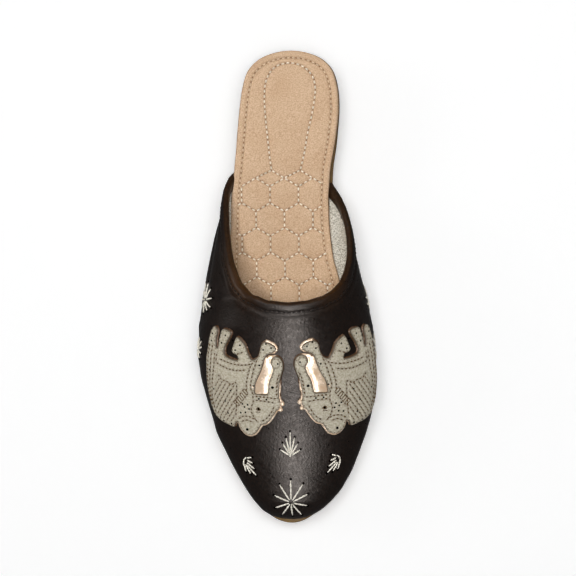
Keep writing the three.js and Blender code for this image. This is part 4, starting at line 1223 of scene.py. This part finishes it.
def build_figure(side, sign):
    def seat(flat, height):
        q, s = flat[..., 0], flat[..., 1]
        lean = FIGURE_LEAN[side] * smoothstep(*LEAN_STATIONS, s) * np.clip(1 - q / LEAN_REACH, 0, 1)
        across = TRUNK_PLACE + (q - TRUNK_PLACE) * FIGURE_REACH[side] + lean
        return on_leather(sign * across, s + FIGURE_SHIFT[side], height)

    for layer, shape, top, base, material, slot in (
        ("backing_", BACKING_LOOP, backing_top, BACKING_BASE, FOIL, "metallic_leather"),
        ("", FIGURE_LOOP, figure_top, FIGURE_BASE, FIGURE, "applique_leather"),
    ):
        flat, faces = flat_sheet(shape)
        height, dark = top(flat)
        face_up, _ = seat(flat, height)
        face_down, _ = seat(flat, np.full(len(flat), base))
        if sign < 0:
            faces = [face[::-1] for face in faces]
        points, faces = thick_sheet(face_up, face_down, faces)
        tint = np.concatenate([dark, np.ones(len(flat))])
        node = "applique_" + layer + side
        add_piece("figure_" + layer + side, points, faces, [material], None, [node], tint, close=False)

    def strokes(name, parts, radius, lift, steps=5):
        flat = between(*joined(parts), steps)
        centres, normals = seat(flat, figure_top(flat)[0] + lift)
        tubes(f"{name}_{side}", centres, normals, radius, UMBER)

    rows = [dashes(line, FIGURE_STITCH, 0.56) for line in SEAMS + pleat_lines()]
    strokes("figure_stitches", rows, 0.36, 0.08)
    strokes("figure_edge", [dashes(closed(grown(FIGURE_LOOP, -0.95)), EDGE_STITCH, 0.4)], 0.22, 0.04, 3)
    low, high = (spline(FIGURE_LINES[name], LADDER_RUNGS) for name in ("ladder_low", "ladder_high"))
    marks = np.array(EYE_MARKS) + (*EYE, *EYE)
    strokes("figure_marks", [(low, high), (marks[:, :2], marks[:, 2:])], 0.24, 0.08)
    holes = np.array(FIGURE_HOLES + MAIN_HOLES, float)
    sizes = np.array([PINHOLE] * len(FIGURE_HOLES) + [MAIN_HOLE] * len(MAIN_HOLES))
    centres, normals = seat(holes, figure_top(holes)[0] + HOLE_LIFT)
    dots(f"figure_holes_{side}", centres, normals, sizes, HOLE_SHADOW, HOLE_SIDES)
    points, faces = [], []
    for q, s, radius in FIGURE_KNOBS:
        centre, _ = seat(np.array([[q, s]]), np.array([KNOB_LIFT]))
        knob, knob_faces = ball(radius * KNOB_SCALE, KNOB_ROWS, KNOB_SIDES)
        faces += [[len(points) + i for i in face] for face in knob_faces]
        points += (centre + knob).tolist()
    shade = np.zeros(len(points))
    add_piece(f"figure_knobs_{side}", points, faces, [FOIL], shade=shade, close=False)


# Embroidery: stitches of each kind of motif, from (q, s) to (q, s) around its heart
STAR = [(0, -12), (-5.8, -9.4), (6.2, -9.7), (-8.7, -3.7), (8.6, -4.4), (-8.4, 3), (8.3, 1.8), (-5, 7),
        (0.5, 7.4), (5.2, 6.9)]
LEAF = [(0, -12.6), (-2.2, -9.6), (-3.8, -6.6), (-5, -3.3), (2.2, -9.6), (3.8, -6.6), (5, -3.3)]
MOTIF_STITCHES = {
    "star": [(0.12 * q, 0.12 * s, q, s) for q, s in STAR],
    "leaf": [(0.14 * q, 0.14 * s, q, s) for q, s in LEAF] + [(0, 0.6, 0, -1.6)],
    "plume": [
        (-0.2, -2.3, -2.6, -2.7), (-0.2, -1.1, -3.3, 0.4), (-0.1, 0.2, -4.3, 3.5), (0.2, 1.2, -5, 6.8),
        (0.9, 1.2, -1.9, 6.1), (1.7, 1.7, 0.8, 5), (0.3, -2.5, 2.1, -0.8), (2, -1, 1.9, 2.2),
    ],
}
MOTIFS = [  # heart (q, s), turn in degrees, size, mirror, kind
    (0, 237.3, 0, 1, 1, "star"), (0, 212.5, 0, 1, 1, "leaf"), (-23.7, 216.2, 0, 1, -1, "plume"),
    (24.4, 214.6, 0, 1, 1, "plume"), (-52.4, 131.2, 20, 0.8, 1, "star"), (-58.4, 157.4, -10, 0.56, 1, "star"),
    (56, 130, -20, 0.8, 1, "star"), (57.4, 157, 10, 0.7, 1, "star"),
]
MOTIF_STEPS, MOTIF_SIDES = 25, 8
MOTIF_THREAD, MOTIF_FLAT, MOTIF_TWIST = 0.4, 0.75, 0.28
MOTIF_ARCH, MOTIF_SPAN, MOTIF_SINK = 0.42, (0.12, 0.94), 0.05
MOTIF_HOLE, MOTIF_HOLE_WAY, MOTIF_HOLE_LIFT = 0.7, 0.55, 0.12


def build_embroidery():
    starts, ends = [], []
    for q, s, degrees, size, mirror, kind in MOTIFS:
        turn = math.radians(degrees)
        across = size * mirror * np.array([math.cos(turn), -math.sin(turn)])
        along = size * np.array([math.sin(turn), math.cos(turn)])
        for q_from, s_from, q_to, s_to in MOTIF_STITCHES[kind]:
            starts.append(np.array([q, s]) + q_from * across + s_from * along)
            ends.append(np.array([q, s]) + q_to * across + s_to * along)
    starts, ends = np.array(starts), np.array(ends)
    flat = between(starts, ends, MOTIF_STEPS)
    lift = MOTIF_ARCH * np.sin(math.pi * np.linspace(*MOTIF_SPAN, MOTIF_STEPS)) ** 0.6 - MOTIF_SINK
    centres, normals = on_leather(flat[..., 0], flat[..., 1], np.broadcast_to(lift, flat.shape[:2]))
    tubes("embroidery", centres, normals, MOTIF_THREAD, IVORY,
          MOTIF_FLAT, MOTIF_SIDES, MOTIF_TWIST)
    holes = ends + MOTIF_HOLE_WAY * unit(ends - starts)
    centres, normals = on_leather(holes[:, 0], holes[:, 1], np.full(len(holes), MOTIF_HOLE_LIFT))
    dots("embroidery_holes", centres, normals, MOTIF_HOLE, HOLE_SHADOW)


build_upper()
build_binding()
build_insole()
build_sole()
build_figure("lateral", -1)
build_figure("medial", 1)
build_embroidery()

# Studio in metres: a pale floor that shines faintly, a pale backdrop, five area lamps and a camera above
FLOOR_GLOW = [  # distance from the shoe, strength: more where the lamps no longer reach
    (0.02, 0.27), (0.3, 0.27), (0.5, 0.4), (0.75, 0.55), (1, 0.68), (1.5, 0.84), (2.5, 0.95), (12, 0.98),
]
FLOOR_RINGS, FLOOR_SPOKES = 64, 72
FLOOR_COLOUR, FLOOR_ROUGHNESS = (250, 250, 250), 0.9
BACKDROP_HEIGHT = 8.0
WORLD_STRENGTH = 0.1
LAMPS = [  # name, place, size, power, whether it lights matt surfaces, whether it shows in gloss
    ("overhead", (-0.04, 0.15, 1.3), (0.5, 0.8), 4.6, True, True),
    ("front", (0.02, -0.64, 1.1), (0.28, 0.9), 7.8, False, True),
    ("key", (-0.44, 0.2, 1.38), (0.1, 0.1), 6.4, True, False),
    ("fill", (0.12, 0.14, 1.5), (0.9, 0.9), 9.9, True, False),
    ("side", (-1.2, 0.2, 0.6), (0.4, 0.4), 1.2, True, True),
]
AIM = Vector((0, 0, 0.02))
CAMERA_PLACE = Vector((0.05745, 0.0013, 1.1))
CAMERA_LENS, CAMERA_SENSOR, CAMERA_CLIP = 128, 36, (0.01, 40)


def stage_sheet(name, radii, heights, glow):
    """A sheet of rings about the shoe, pale and faintly shining, that gloss doesn't show."""
    angle = circle(FLOOR_SPOKES)
    ring = np.stack([np.cos(angle), np.sin(angle), 0 * angle], -1)
    points = radii[:, None, None] * ring + heights[:, None, None] * np.array([0, 0, 1])
    index = numbered(len(radii), FLOOR_SPOKES)
    faces = grid_faces(index, wrap=True).tolist()
    if heights[0] == heights[-1]:
        faces.append(index[0].tolist())
    look = Look(name, FLOOR_COLOUR, FLOOR_ROUGHNESS, Emission_Color=(1, 1, 1, 1))
    look.feed("Emission Strength", look.shade())
    sheet = add_object(name, new_mesh(name, points, faces, [look.material], np.repeat(glow, FLOOR_SPOKES)))
    sheet.visible_glossy = False
    return sheet


def build_stage():
    places = np.array([row[0] for row in FLOOR_GLOW])
    radii = np.interp(np.linspace(0, 1, FLOOR_RINGS), np.linspace(0, 1, len(places)), places)
    floor = stage_sheet("floor", radii, 0 * radii, curve(FLOOR_GLOW, 1)(radii))
    far = FLOOR_GLOW[-1]
    wall = stage_sheet("backdrop", np.full(2, far[0]), np.array([0, BACKDROP_HEIGHT]), np.full(2, far[1]))
    wall.visible_diffuse = False
    wall.visible_shadow = False
    return floor


def build_lamps(floor):
    """Lamps and a faint world; the key leaves out the floor, so its hard shadow falls on the shoe alone."""
    unlit = bpy.data.collections.new("unlit_by_key")
    unlit.objects.link(floor)
    unlit.collection_objects[0].light_linking.link_state = "EXCLUDE"
    for name, place, size, power, diffuse, glossy in LAMPS:
        light = bpy.data.lights.new(name, "AREA")
        light.shape = "RECTANGLE"
        light.size, light.size_y = size
        light.energy = power
        lamp = add_object(name, light)
        lamp.location = place
        lamp.rotation_mode = "QUATERNION"
        lamp.rotation_quaternion = (AIM - Vector(place)).to_track_quat("-Z", "Y")
        lamp.visible_diffuse, lamp.visible_glossy = diffuse, glossy
        if name == "key":
            lamp.light_linking.receiver_collection = unlit
    world = bpy.data.worlds.new("studio")
    bpy.context.scene.world = world
    world.use_nodes = True
    background = world.node_tree.nodes["Background"]
    background.inputs["Color"].default_value = (1, 1, 1, 1)
    background.inputs["Strength"].default_value = WORLD_STRENGTH


def build_camera():
    camera = bpy.data.cameras.new("camera")
    camera.lens = CAMERA_LENS
    camera.sensor_width = CAMERA_SENSOR
    camera.clip_start, camera.clip_end = CAMERA_CLIP
    eye = add_object("camera", camera)
    back = (CAMERA_PLACE - AIM).normalized()
    right = Vector((0, 1, 0)).cross(back).normalized()
    turn = Matrix((right, back.cross(right), back)).transposed()
    eye.matrix_world = Matrix.Translation(CAMERA_PLACE) @ turn.to_4x4()
    bpy.context.scene.camera = eye
    bpy.context.scene.view_settings.view_transform = "Standard"


build_lamps(build_stage())
build_camera()
